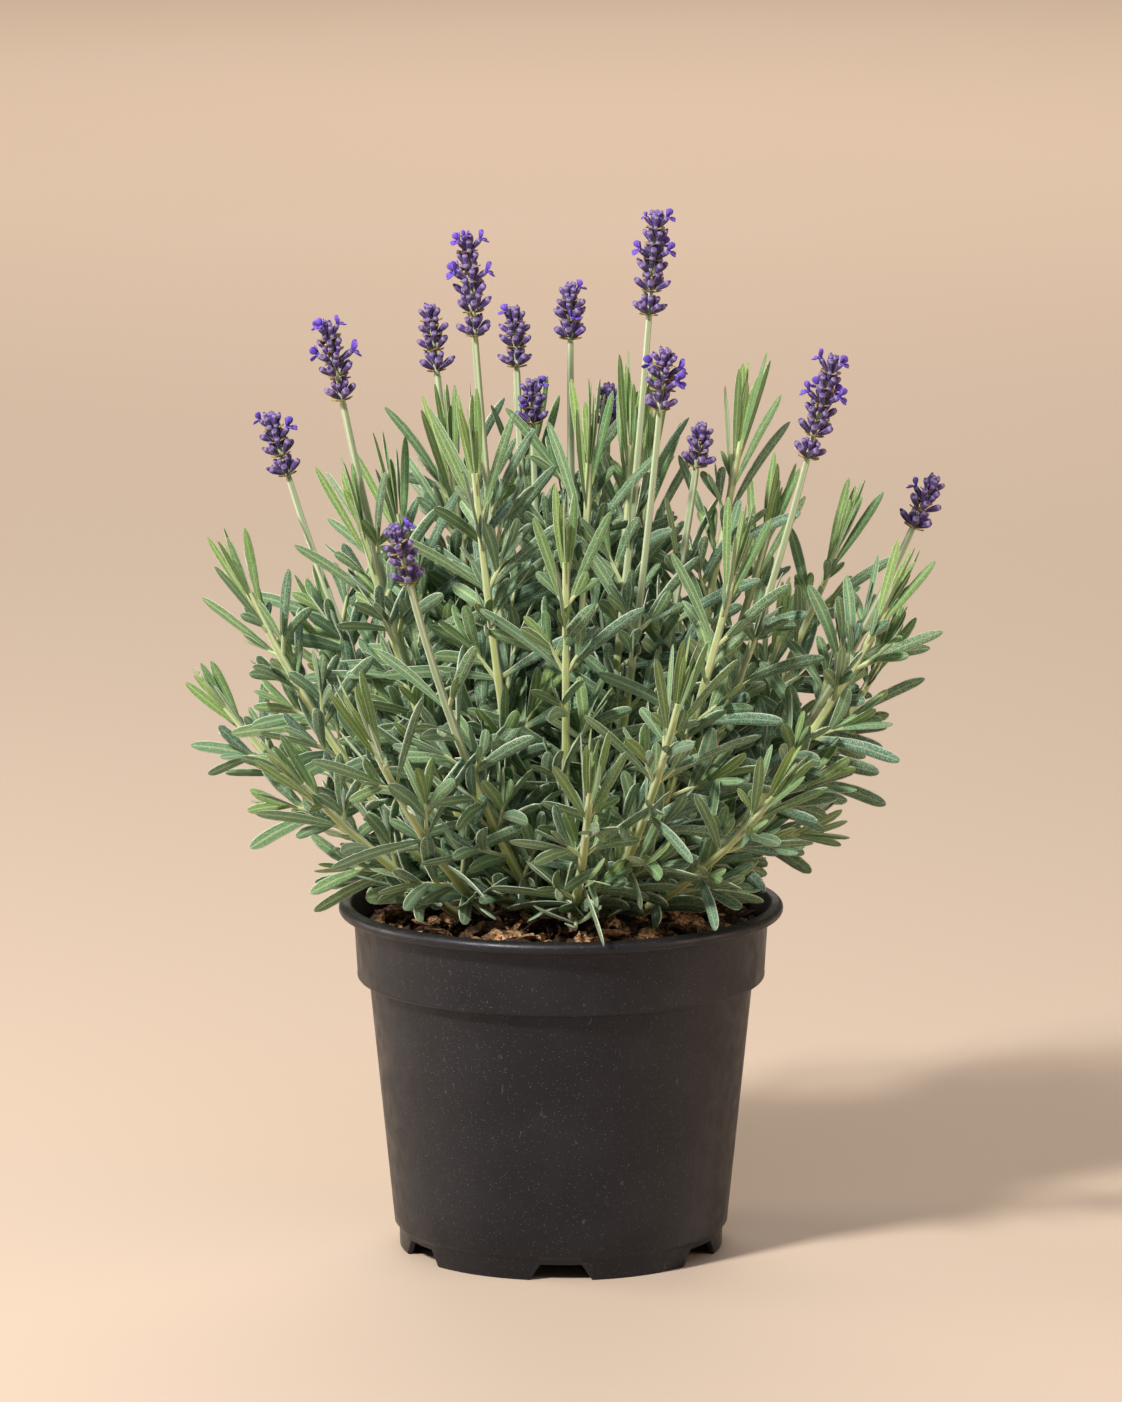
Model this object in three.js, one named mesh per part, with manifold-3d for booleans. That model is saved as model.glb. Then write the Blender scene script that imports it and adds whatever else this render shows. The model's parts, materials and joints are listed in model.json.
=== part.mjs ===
// Potted lavender: a bushy flowering plant in a three-litre nursery pot.
// Millimetres, +Z up. The origin is on the ground, under the middle of the pot.
// -Y is the front of the bush, where the leaning violet flower head stands.

import * as THREE from 'three';
import { mergeVertices } from 'three/addons/utils/BufferGeometryUtils.js';
import Module from 'manifold-3d';

const wasm = await Module();
wasm.setup();

// ---------------------------------------------------------------- driving dimensions

const CLEARANCE = 0.3;          // left between pieces that touch
const ROUND_SIDES = 36;         // sides of the pot and of the soil in it

const POT = {
  height: 150,
  lipRadius: 95,
  mouthRadius: 89.4,
  lipHeight: 5.2,
  neckRadius: 88.5,
  bandRadius: 87.1,             // the band under the lip tapers to this
  bandFoot: 120.5,
  shoulderRadius: 82,           // where the body starts, under the band
  shoulderHeight: 117,
  bodyFootRadius: 71.5,
  bodyFootHeight: 11,
  footRadius: 69.3,
  footHeight: 8.5,
  wall: 1.8,
  floorUnderside: 7,
  floorTop: 9,
  footRingWidth: 2.6,
  softEdge: 1.2,                // rounding of the band's and the lip's outer edges
};

const NOTCH = { count: 6, widthAtGround: 26.7, widthAtTop: 17.5, height: 6.8, cut: 20 };
const DRAIN_HOLE = { count: 6, radius: 6, fromCentre: 46, sides: 6, cut: 6 };

const SOIL = {
  edgeHeight: 138.5,
  crownHeight: 143,             // the stems stand in a low flat crown
  rings: [86.1, 74, 60, 46.5],  // from the pot's wall in to the crown
  relief: 1.4,                  // roughness of the bark surface round the crown
  chipShare: 0.21,              // share of the outer facets that are raised bark chips
  chipRise: 3,
  chipTilt: 1.2,
};

const STEM = {
  sideAtFoot: 4.0,
  sideAtTip: 2.6,
  buried: 10,                   // depth that the foot stands in the soil
  footSpacing: 9,
  node: 2.6,                    // height of stem that one leaf grows from
  spear: 15,                    // length of the folded young leaves at the tip
  sweep: 0.1,                   // how far a shoot leans out before it turns up
  bareFoot: 13,                 // length over the soil that grows no leaves
  anyTurn: 45,                  // degrees that the square section may be turned
};

const LEAF = {
  pairsOnShoot: 7,
  pairsBehind: 6,               // on the shoots of the far side
  pairsOnSpike: 3,
  topPair: 2.5,                 // distance of the first pair from the tip
  firstStep: 5,                 // from the first pair down to the next
  stepGrowth: 3.5,
  longestStep: 18.5,
  length: 50,                   // of a full-grown leaf
  youngShare: 0.82,             // length of the youngest pair, as a share of that
  growth: 0.07,                 // and what each pair further down adds to the share
  oldFrom: 5,                   // the pairs below this one are shorter again
  oldLoss: 0.06,
  thickness: 1.0,
  widthAtTip: 3.5,              // width of the youngest leaves
  widthPerPair: 0.38,           // and what each pair further down adds
  maxWidth: 6.2,
  bluntTip: 0.36,               // width of an old leaf's tip, as a share of its own
  liftAtTip: 7,                 // degrees that a leaf stands off its stem
  liftPerPair: 3.5,             // what each pair further down adds
  liftGrowth: 1.5,              // and by how much more each time
  mostLift: 64,
  archPerPair: 2,               // degrees that each step of an older leaf turns over
  mostArch: 15,
};

const HEAD = {
  sides: 5,                     // buds in each whorl
  footRadius: 1.2,
  lowWhorl: 3,                  // height of the whorl that stands apart
  coreRadius: 2.7,
  coreTaper: 1.1,
  ring: 1.1,                    // half the height of stem that a whorl grows from
  spreadBelow: 54,              // degrees that the lowest buds stand off the stem
  spreadLoss: 34,
  sizeLoss: 0.22,
  tip: 7.5,                     // from the last whorl to the top of the head
};
const BUD = { length: 8.4, width: 4.2, flatness: 0.88, widest: 0.6 };

const COLOUR = {
  pot: 0x2b2a2c,
  soil: 0x3a261b,
  shoot: 0x6f8a55,
  flowering: 0x7d9460,
  flower: 0x57409a,
};

// Shoots with leaves to the tip: foot on the soil, tip of the stem above it.
const SHOOTS = [
  { foot: [-33, -8], tip: [-131, -28, 287] },
  { foot: [-38, 3], tip: [-143, 4, 233] },
  { foot: [-28, 15], tip: [-100, 37, 261] },
  { foot: [-21, -10], tip: [-83, -34, 314] },
  { foot: [-18, 2], tip: [-70, 4, 316] },
  { foot: [-9, -11], tip: [-36, -44, 340] },
  { foot: [2, -14], tip: [2, -66, 306] },
  { foot: [4, -1], tip: [12, 2, 338] },
  { foot: [21, 4], tip: [76, 12, 346] },
  { foot: [20, -9], tip: [72, -48, 298] },
  { foot: [29, 15], tip: [119, 44, 296] },
  { foot: [34, -9], tip: [138, -14, 279] },
  { foot: [37, 7], tip: [138, 28, 252], sweep: 0.16 },
  { foot: [13, -20], tip: [48, -116, 255], vigour: 0.92 },
  { foot: [4, -25], tip: [12, -108, 217], vigour: 0.84 },
  { foot: [-26, -18], tip: [-78, -102, 237], vigour: 0.88 },
  { foot: [25, -19], tip: [88, -92, 212], sweep: 0.08, vigour: 0.76 },
  { foot: [-37, -15], tip: [-108, -64, 212], sweep: 0.06, vigour: 0.72 },
  { foot: [-12, 6], tip: [-47, 20, 335], pairs: 6 },
  { foot: [9, 5], tip: [30, 15, 344], pairs: 6 },
  { foot: [23, 10], tip: [89, 30, 305], pairs: 6 },
];

// The far side of the bush is filled by rule: a low outer row and a taller inner one.
const BACK_ROWS = [
  { bearings: [36, 62, 89, 116, 146], reach: 123, height: 240, footReach: 37, sweep: 0.15 },
  { bearings: [52, 78, 104, 131], reach: 66, height: 318, footReach: 26, sweep: 0.1 },
];
const BACK_JITTER = { reach: 6, height: 18 };

// Strong shoots stand high over the middle of the pot, weak ones low and far out.
const VIGOUR = { atHeight: 210, share: 0.68, perHeight: 0.0026, perReach: 0.0007 };

// How unlike each other the leaves of one pair are: degrees, and a share of length.
const LEAF_JITTER = { length: 0.09, turn: 7, lift: 5 };

// Room round stems, leaves and heads, measured by small balls laid along them.
const BALL = { spacing: 3.8, stem: 2.3, stemStep: 8, head: 9, spear: 1.5, perWidth: 0.45, over: 0.3 };

// Flowering stems: foot, base of the flower head, bare length below the head,
// length of the head and its number of whorls.
const SPIKES = [
  { foot: [-31, 6], head: [-116, 25, 328], bare: 44, length: 31, whorls: 4 },
  { foot: [-22, -1], head: [-91, -35, 368], bare: 58, length: 37, whorls: 5 },
  { foot: [-15, 13], head: [-53, 45, 370], bare: 46, length: 32, whorls: 4 },
  { foot: [-9, -2], head: [-36, -20, 393], bare: 64, length: 46, whorls: 6 },
  { foot: [-5, 17], head: [-19, 60, 370], bare: 46, length: 29, whorls: 4 },
  { foot: [-5, 13], head: [-12, 40, 348], bare: 44, length: 22, whorls: 3 },
  { foot: [4, 10], head: [4, 35, 385], bare: 54, length: 27, whorls: 4 },
  { foot: [11, -3], head: [37, -5, 400], bare: 86, length: 47, whorls: 6 },
  { foot: [12, -11], head: [41, -45, 365], bare: 84, length: 29, whorls: 4 },
  { foot: [17, 0], head: [57, 0, 335], bare: 42, length: 22, whorls: 3 },
  { foot: [28, -1], head: [103, -25, 342], bare: 76, length: 48, whorls: 6 },
  { foot: [40, -2], head: [149, 14, 307], bare: 46, length: 27, whorls: 4 },
  { foot: [-5, -21], head: [-62, -94, 300], bare: 54, length: 30, whorls: 4 },
  { foot: [9, 21], head: [20, 50, 345], bare: 40, length: 22, whorls: 3 },
];

// ---------------------------------------------------------------- small helpers

const UP = new THREE.Vector3(0, 0, 1);
const DEGREE = Math.PI / 180;

// A small linear generator, so every run grows the same plant.
function seededRandom(seed) {
  let state = seed;
  return () => {
    state = (state * 1664525 + 1013904223) % 4294967296;
    return state / 4294967296;
  };
}

function jitter(random, amount) {
  return (2 * random() - 1) * amount;
}

// Points and triangles of one closed body, built ring by ring. Every loop of points
// runs anticlockwise as seen from the side that the body grows towards.
class Facets {
  constructor() {
    this.points = [];
    this.triangles = [];
  }

  add(point) {
    this.points.push(point);
    return this.points.length - 1;
  }

  loop(points) {
    return points.map((point) => this.add(point));
  }

  quad(a, b, c, d, otherDiagonal = false) {
    if (otherDiagonal) {
      this.triangles.push([a, b, d], [b, c, d]);
    } else {
      this.triangles.push([a, b, c], [a, c, d]);
    }
  }

  // Joins two loops by a band, leaving out the sides named in skip.
  band(lower, upper, skip = [], twisted = false) {
    const count = lower.length;
    for (let i = 0; i < count; i += 1) {
      const j = (i + 1) % count;
      if (!skip.includes(i)) {
        this.quad(lower[i], lower[j], upper[j], upper[i], twisted || i === 2);
      }
    }
  }

  fan(loop, tip) {
    loop.forEach((point, i) => this.triangles.push([point, loop[(i + 1) % loop.length], tip]));
  }

  middle(loop) {
    const sum = new THREE.Vector3();
    loop.forEach((index) => sum.add(this.points[index]));
    return sum.divideScalar(loop.length);
  }

  floor(loop) {
    for (let i = 1; i < loop.length - 1; i += 1) {
      this.triangles.push([loop[0], loop[i + 1], loop[i]]);
    }
  }

  geometry() {
    const geometry = new THREE.BufferGeometry();
    const flat = this.points.flatMap((point) => [point.x, point.y, point.z]);
    geometry.setAttribute('position', new THREE.Float32BufferAttribute(flat, 3));
    geometry.setIndex(this.triangles.flat());
    return geometry;
  }
}

function toSolid(geometry) {
  const bare = geometry.clone();
  bare.deleteAttribute('normal');
  bare.deleteAttribute('uv');
  const merged = mergeVertices(bare);
  const vertProperties = new Float32Array(merged.attributes.position.array);
  const triVerts = new Uint32Array(merged.index.array);
  return new wasm.Manifold(new wasm.Mesh({ numProp: 3, vertProperties, triVerts }));
}

function toGeometry(solid) {
  const mesh = solid.getMesh();
  const geometry = new THREE.BufferGeometry();
  geometry.setAttribute('position', new THREE.BufferAttribute(mesh.vertProperties, 3));
  geometry.setIndex(new THREE.BufferAttribute(mesh.triVerts, 1));
  return geometry;
}

function piece(name, geometry, color, roughness) {
  const shaded = geometry.index ? geometry.toNonIndexed() : geometry;
  shaded.computeVertexNormals();
  const material = new THREE.MeshStandardMaterial({ color, roughness, metalness: 0 });
  const mesh = new THREE.Mesh(shaded, material);
  mesh.name = name;
  return mesh;
}

// ---------------------------------------------------------------- pot

// Outline of the moulded pot, from the underside of its floor round to the top of it.
function potOutline() {
  const inner = POT.shoulderRadius - POT.wall;
  return [
    [0, POT.floorUnderside],
    [POT.footRadius - POT.footRingWidth - 1, POT.floorUnderside],
    [POT.footRadius - POT.footRingWidth, 0],
    [POT.footRadius, 0],
    [POT.footRadius + 0.2, POT.footHeight],
    [POT.bodyFootRadius, POT.bodyFootHeight],
    [POT.shoulderRadius, POT.shoulderHeight],
    [POT.bandRadius - POT.softEdge, POT.shoulderHeight + POT.softEdge / 2],
    [POT.bandRadius, POT.bandFoot],
    [POT.neckRadius, POT.height - POT.lipHeight],
    [POT.lipRadius - POT.softEdge, POT.height - POT.lipHeight],
    [POT.lipRadius, POT.height - POT.lipHeight / 2],
    [POT.lipRadius - POT.wall, POT.height],
    [POT.mouthRadius, POT.height - POT.softEdge],
    [POT.neckRadius - POT.wall, POT.height - POT.lipHeight - POT.wall],
    [POT.bandRadius - POT.wall, POT.bandFoot + POT.wall / 2],
    [inner, POT.shoulderHeight + POT.wall],
    [POT.bodyFootRadius - POT.wall, POT.floorTop],
    [0, POT.floorTop],
  ];
}

// One trapezoid notch through the foot ring, facing along -Y.
function notchTool() {
  const half = NOTCH.widthAtGround / 2;
  const halfTop = NOTCH.widthAtTop / 2;
  const shape = new THREE.Shape([
    new THREE.Vector2(-half, -NOTCH.height),
    new THREE.Vector2(half, -NOTCH.height),
    new THREE.Vector2(half, 0),
    new THREE.Vector2(halfTop, NOTCH.height),
    new THREE.Vector2(-halfTop, NOTCH.height),
    new THREE.Vector2(-half, 0),
  ]);
  const tool = new THREE.ExtrudeGeometry(shape, { depth: NOTCH.cut, bevelEnabled: false, steps: 1 });
  tool.rotateX(Math.PI / 2);
  tool.translate(0, -POT.footRadius + NOTCH.cut / 2, 0);
  return tool;
}

function drainHoleTool() {
  const { radius, cut, sides } = DRAIN_HOLE;
  const tool = new THREE.CylinderGeometry(radius, radius, cut, sides);
  tool.rotateX(Math.PI / 2);
  tool.translate(0, -DRAIN_HOLE.fromCentre, (POT.floorUnderside + POT.floorTop) / 2);
  return tool;
}

function roundTheAxis(makeTool, count, start) {
  const tools = [];
  for (let i = 0; i < count; i += 1) {
    const tool = makeTool();
    tool.rotateZ(start + (i * 2 * Math.PI) / count);
    tools.push(toSolid(tool));
  }
  return tools;
}

function makePot() {
  const outline = potOutline().map(([radius, height]) => new THREE.Vector2(radius, height));
  const turned = new THREE.LatheGeometry(outline, ROUND_SIDES);
  turned.rotateX(Math.PI / 2);
  let pot = toSolid(turned);
  const notches = roundTheAxis(notchTool, NOTCH.count, 0);
  const holes = roundTheAxis(drainHoleTool, DRAIN_HOLE.count, Math.PI / DRAIN_HOLE.count);
  for (const tool of [...notches, ...holes]) {
    pot = pot.subtract(tool);
  }
  return toGeometry(pot);
}

// ---------------------------------------------------------------- growing medium

function soilHeight(x, y) {
  const [edge, crown] = [SOIL.rings.at(0), SOIL.rings.at(-1)];
  const share = (Math.hypot(x, y) - crown) / (edge - crown);
  return SOIL.crownHeight - (SOIL.crownHeight - SOIL.edgeHeight) * Math.max(0, share);
}

function circle(radius, heightAt) {
  const points = [];
  for (let i = 0; i < ROUND_SIDES; i += 1) {
    const angle = (i * 2 * Math.PI) / ROUND_SIDES;
    const x = radius * Math.cos(angle);
    const y = radius * Math.sin(angle);
    points.push(new THREE.Vector3(x, y, heightAt(x, y)));
  }
  return points;
}

// A bark chip: one facet of the surface, drawn in and up a little, and tilted.
function raiseChip(facets, corners, random) {
  const middle = facets.middle(corners);
  const tilt = jitter(random, SOIL.chipTilt);
  const top = corners.map((corner, i) => {
    const point = facets.points[corner].clone().lerp(middle, 0.16 + 0.1 * random());
    point.z += SOIL.chipRise * (0.75 + 0.25 * random()) + (i < 2 ? tilt : -tilt);
    return point;
  });
  const lid = facets.loop(top);
  facets.band(corners, lid);
  facets.quad(lid[0], lid[1], lid[2], lid[3]);
}

function makeSoil(stems) {
  const random = seededRandom(77);
  const facets = new Facets();
  const wall = POT.wall + CLEARANCE + 0.1;
  const overLedge = POT.wall + 2 * CLEARANCE;
  const bottom = facets.loop(circle(POT.bodyFootRadius - wall, () => POT.floorTop + CLEARANCE));
  const ledge = facets.loop(circle(POT.shoulderRadius - wall, () => POT.shoulderHeight + overLedge));
  const step = facets.loop(circle(POT.bandRadius - wall, () => POT.bandFoot + overLedge));
  facets.floor(bottom);
  facets.band(bottom, ledge);
  facets.band(ledge, step);
  let outer = facets.loop(circle(SOIL.rings[0], () => SOIL.edgeHeight));
  facets.band(step, outer);
  const crown = SOIL.rings.at(-1);
  for (const radius of SOIL.rings.slice(1)) {
    const relief = radius === crown ? 0 : SOIL.relief;
    const inner = facets.loop(circle(radius, (x, y) => soilHeight(x, y) + jitter(random, relief)));
    for (let i = 0; i < ROUND_SIDES; i += 1) {
      const j = (i + 1) % ROUND_SIDES;
      const corners = [outer[i], outer[j], inner[j], inner[i]];
      if (random() < SOIL.chipShare) {
        raiseChip(facets, corners, random);
      } else {
        facets.quad(...corners);
      }
    }
    outer = inner;
  }
  for (let i = 1; i < ROUND_SIDES - 1; i += 1) {
    facets.triangles.push([outer[0], outer[i], outer[i + 1]]);
  }
  let soil = toSolid(facets.geometry());
  for (const stem of stems) {
    soil = soil.subtract(toSolid(stemHole(stem)));
  }
  return toGeometry(soil);
}

// ---------------------------------------------------------------- stems

// A stem is one bend in one upright plane: out from its foot, then up to its end.
function layStem(row) {
  const end = new THREE.Vector3(...(row.head ?? row.tip));
  const sweep = row.sweep ?? STEM.sweep;
  const foot = new THREE.Vector3(row.foot[0], row.foot[1], SOIL.crownHeight);
  const control = new THREE.Vector3(
    foot.x + (end.x - foot.x) * (0.5 + sweep),
    foot.y + (end.y - foot.y) * (0.5 + sweep),
    foot.z + (end.z - foot.z) * (0.5 - sweep),
  );
  const curve = new THREE.QuadraticBezierCurve3(foot, control, end);
  const across = new THREE.Vector3().crossVectors(UP, end.clone().sub(foot)).normalize();
  return { curve, across, length: curve.getLength(), end, vigour: row.vigour };
}

// Place, direction and square section of a stem at a distance down from its end.
function stemFrame(stem, fromEnd) {
  const share = 1 - fromEnd / stem.length;
  const along = stem.curve.getTangent(share);
  const inward = new THREE.Vector3().crossVectors(along, stem.across);
  const side = STEM.sideAtFoot + (STEM.sideAtTip - STEM.sideAtFoot) * Math.min(1, share);
  const first = stem.across.clone().applyAxisAngle(along, stem.turn);
  const second = inward.applyAxisAngle(along, stem.turn);
  return { centre: stem.curve.getPoint(share), along, first, second, side };
}

// The four corners of the square stem. Face k looks along k quarter turns from first.
function stemCorners(frame, side = frame.side) {
  const corners = [];
  for (let k = 0; k < 4; k += 1) {
    const angle = (k * 90 + 45) * DEGREE;
    const reach = side / Math.SQRT2;
    const corner = frame.centre.clone();
    corner.addScaledVector(frame.first, reach * Math.cos(angle));
    corner.addScaledVector(frame.second, reach * Math.sin(angle));
    corners.push(corner);
  }
  return corners;
}

function faceNormal(frame, face) {
  const normal = frame.first.clone().multiplyScalar(Math.cos(face * 90 * DEGREE));
  return normal.addScaledVector(frame.second, Math.sin(face * 90 * DEGREE));
}

function shifted(frame, distance) {
  return { ...frame, centre: frame.centre.clone().addScaledVector(frame.along, distance) };
}

// The buried end stands upright in its hole, whichever way the stem leans.
function uprightFoot(stem) {
  const foot = stemFrame(stem, stem.length);
  const inward = new THREE.Vector3().crossVectors(UP, stem.across);
  return {
    ...foot,
    along: UP,
    first: stem.across.clone().applyAxisAngle(UP, stem.turn),
    second: inward.applyAxisAngle(UP, stem.turn),
  };
}

function stemHole(stem) {
  const foot = uprightFoot(stem);
  const side = foot.side + 2 * CLEARANCE + 0.1;
  const tool = new Facets();
  const bottom = tool.loop(stemCorners(shifted(foot, -STEM.buried - CLEARANCE), side));
  const top = tool.loop(stemCorners(shifted(foot, 3), side));
  tool.floor(bottom);
  tool.band(bottom, top);
  tool.quad(top[0], top[1], top[2], top[3]);
  return tool.geometry();
}

// ---------------------------------------------------------------- leaves

// Leaf pairs, counted as ranks from the tip of a shoot down: close together at the
// tip, then a thumb's width apart. A flowering stem starts below its bare part.
function pairPlaces(stem) {
  const places = [];
  const most = stem.bare ? LEAF.pairsOnSpike : stem.pairs;
  let fromEnd = stem.bare ?? LEAF.topPair;
  let rank = stem.bare ? 3 : 0;
  while (fromEnd < stem.length - STEM.bareFoot && places.length < most) {
    places.push({ rank, fromEnd });
    fromEnd += Math.min(LEAF.longestStep, LEAF.firstStep + LEAF.stepGrowth * rank);
    rank += 1;
  }
  return places;
}

// Size and stance of a leaf by its rank: young ones short and upright, the middle
// ones longest, the oldest short, broad and arching over.
function leafHabit(rank) {
  const grown = Math.min(1, LEAF.youngShare + LEAF.growth * rank);
  const faded = 1 - LEAF.oldLoss * Math.max(0, rank - LEAF.oldFrom);
  const more = LEAF.liftPerPair + LEAF.liftGrowth * rank;
  return {
    length: LEAF.length * grown * faded,
    width: Math.min(LEAF.maxWidth, LEAF.widthAtTip + LEAF.widthPerPair * rank),
    lift: Math.min(LEAF.mostLift, LEAF.liftAtTip + more * rank) * DEGREE,
    arch: Math.min(LEAF.mostArch, LEAF.archPerPair * (rank - 1)) * DEGREE,
  };
}

// The middle line of a leaf, in straight steps that turn away from the stem.
function leafSpine(root, along, outward, length, lift, arch, steps) {
  const spine = [root.clone()];
  const directions = [];
  steps.forEach((share, i) => {
    const angle = lift + arch * i;
    const direction = along.clone().multiplyScalar(Math.cos(angle));
    direction.addScaledVector(outward, Math.sin(angle));
    directions.push(direction);
    spine.push(spine[i].clone().addScaledVector(direction, length * share));
  });
  return { spine, directions };
}

// The balls along every stem, head and leaf that is already placed.
const balls = [];

function pointsAlong(from, to) {
  const count = Math.max(1, Math.ceil(from.distanceTo(to) / BALL.spacing));
  const points = [];
  for (let i = 1; i <= count; i += 1) {
    points.push(from.clone().lerp(to, i / count));
  }
  return points;
}

function addBalls(from, to, radius, owner) {
  for (const at of pointsAlong(from, to)) {
    balls.push({ at, radius, owner });
  }
}

function isClear(point, radius, owner) {
  return balls.every((ball) => {
    const reach = radius + ball.radius;
    return ball.owner === owner || ball.at.distanceToSquared(point) >= reach * reach;
  });
}

function leafBall(leaf) {
  return leaf.width * BALL.perWidth + BALL.over;
}

// Leaves stay above the soil, the bark chips and the pot's lip.
function isAbovePot(point) {
  const fromAxis = Math.hypot(point.x, point.y);
  if (fromAxis > POT.lipRadius + 3) {
    return true;
  }
  return point.z > (fromAxis > POT.neckRadius - 5 ? POT.height + 2.5 : POT.height - 2.5);
}

function leafFits(leaf, owner) {
  const radius = leafBall(leaf);
  for (let i = 1; i < leaf.spine.length; i += 1) {
    const points = pointsAlong(leaf.spine[i - 1], leaf.spine[i]);
    if (!points.every((at) => isAbovePot(at) && isClear(at, radius, owner))) {
      return false;
    }
  }
  return true;
}

// Ways that a leaf gives way to what already stands there: turn, lift, length.
const WAYS = [
  [0, 0, 1], [13, 0, 1], [-13, 0, 1], [0, 11, 1], [0, -9, 1], [22, 6, 1], [-22, 6, 1],
  [0, 0, 0.78], [15, 6, 0.78], [-15, 6, 0.78], [24, -6, 0.78], [-24, -6, 0.78], [0, 14, 0.62],
];

// The straight steps of a long arched leaf and of a short one, as shares of its length.
const LONG_STEPS = [0.36, 0.36, 0.28];
const SHORT_STEPS = [0.55, 0.45];
const LEAST_LIFT = 5;

function placeLeaf(stem, place, face, random) {
  const habit = leafHabit(place.rank);
  const frame = stemFrame(stem, place.fromEnd);
  const normal = faceNormal(frame, face);
  const length = habit.length * (1 + jitter(random, LEAF_JITTER.length)) * stem.vigour;
  const turn = jitter(random, LEAF_JITTER.turn);
  const lift = habit.lift + jitter(random, LEAF_JITTER.lift) * DEGREE;
  const root = frame.centre.clone().addScaledVector(normal, frame.side / 2);
  const steps = place.rank > 2 && place.rank < LEAF.oldFrom ? LONG_STEPS : SHORT_STEPS;
  for (const [extraTurn, extraLift, shorter] of WAYS) {
    const outward = normal.clone().applyAxisAngle(frame.along, (turn + extraTurn) * DEGREE);
    const angle = Math.max(LEAST_LIFT * DEGREE, lift + extraLift * DEGREE);
    const run = leafSpine(root, frame.along, outward, length * shorter, angle, habit.arch, steps);
    const across = new THREE.Vector3().crossVectors(frame.along, outward);
    const width = habit.width * (1.35 - 0.4 * stem.vigour);
    const leaf = { ...run, across, width, face, rank: place.rank };
    if (leafFits(leaf, stem.name)) {
      return leaf;
    }
  }
  return null;
}

// Draws a leaf out of the loop of points at its root: a thin arched blade.
function growLeaf(facets, rootLoop, leaf) {
  let loop = rootLoop;
  const last = leaf.spine.length - 1;
  for (let i = 1; i < last; i += 1) {
    const direction = leaf.directions[i - 1].clone().add(leaf.directions[i]).normalize();
    const upper = new THREE.Vector3().crossVectors(direction, leaf.across);
    const half = (leaf.width / 2) * (i === 1 ? 1 : 0.9);
    const thick = LEAF.thickness / 2;
    const corner = (sideways, upwards) => leaf.spine[i].clone()
      .addScaledVector(leaf.across, sideways * half)
      .addScaledVector(upper, upwards * thick);
    const next = facets.loop([corner(-1, -1), corner(1, -1), corner(1, 1), corner(-1, 1)]);
    facets.band(loop, next);
    loop = next;
  }
  if (leaf.rank < LEAF.oldFrom) {
    facets.fan(loop, facets.add(leaf.spine[last]));
    return;
  }
  const half = (leaf.width / 2) * LEAF.bluntTip;
  const left = facets.add(leaf.spine[last].clone().addScaledVector(leaf.across, -half));
  const right = facets.add(leaf.spine[last].clone().addScaledVector(leaf.across, half));
  facets.quad(loop[0], loop[1], right, left);
  facets.triangles.push([loop[1], loop[2], right]);
  facets.quad(loop[2], loop[3], left, right, true);
  facets.triangles.push([loop[3], loop[0], left]);
}

// The whole stem with its leaves: a square tube, and each leaf drawn out of one face.
function makeStem(stem) {
  const facets = new Facets();
  const foot = uprightFoot(stem);
  let loop = facets.loop(stemCorners(shifted(foot, -STEM.buried)));
  facets.floor(loop);
  const rise = (points, skip) => {
    const next = facets.loop(points);
    facets.band(loop, next, skip);
    const before = loop;
    loop = next;
    return before;
  };
  rise(stemCorners(shifted(foot, CLEARANCE)));
  for (const place of [...stem.places].reverse()) {
    const frame = stemFrame(stem, place.fromEnd);
    rise(stemCorners(shifted(frame, -STEM.node / 2)));
    const leaves = stem.leaves.filter((leaf) => leaf.rank === place.rank);
    const skip = leaves.map((leaf) => (leaf.face + 3) % 4);
    const lower = rise(stemCorners(shifted(frame, STEM.node / 2)), skip);
    for (const leaf of leaves) {
      const left = (leaf.face + 3) % 4;
      const right = leaf.face;
      growLeaf(facets, [lower[left], lower[right], loop[right], loop[left]], leaf);
    }
  }
  if (stem.bare) {
    rise(stemCorners(stemFrame(stem, stem.bare / 2)));
    rise(stemCorners(stemFrame(stem, 0)));
    facets.quad(loop[0], loop[1], loop[2], loop[3]);
  } else {
    const end = stemFrame(stem, 0);
    facets.fan(loop, facets.add(end.centre.clone().addScaledVector(end.along, STEM.spear)));
  }
  return facets.geometry();
}

// ---------------------------------------------------------------- flower heads

// Heights of the whorls up a head: the lowest one stands apart below a bare bit.
function whorlHeights(spike) {
  const heights = [HEAD.lowWhorl];
  const first = HEAD.lowWhorl + Math.min(10, 0.28 * spike.length);
  const last = spike.length - HEAD.tip;
  const dense = spike.whorls - 1;
  for (let i = 0; i < dense; i += 1) {
    heights.push(first + ((last - first) * i) / Math.max(1, dense - 1));
  }
  return heights;
}

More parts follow.
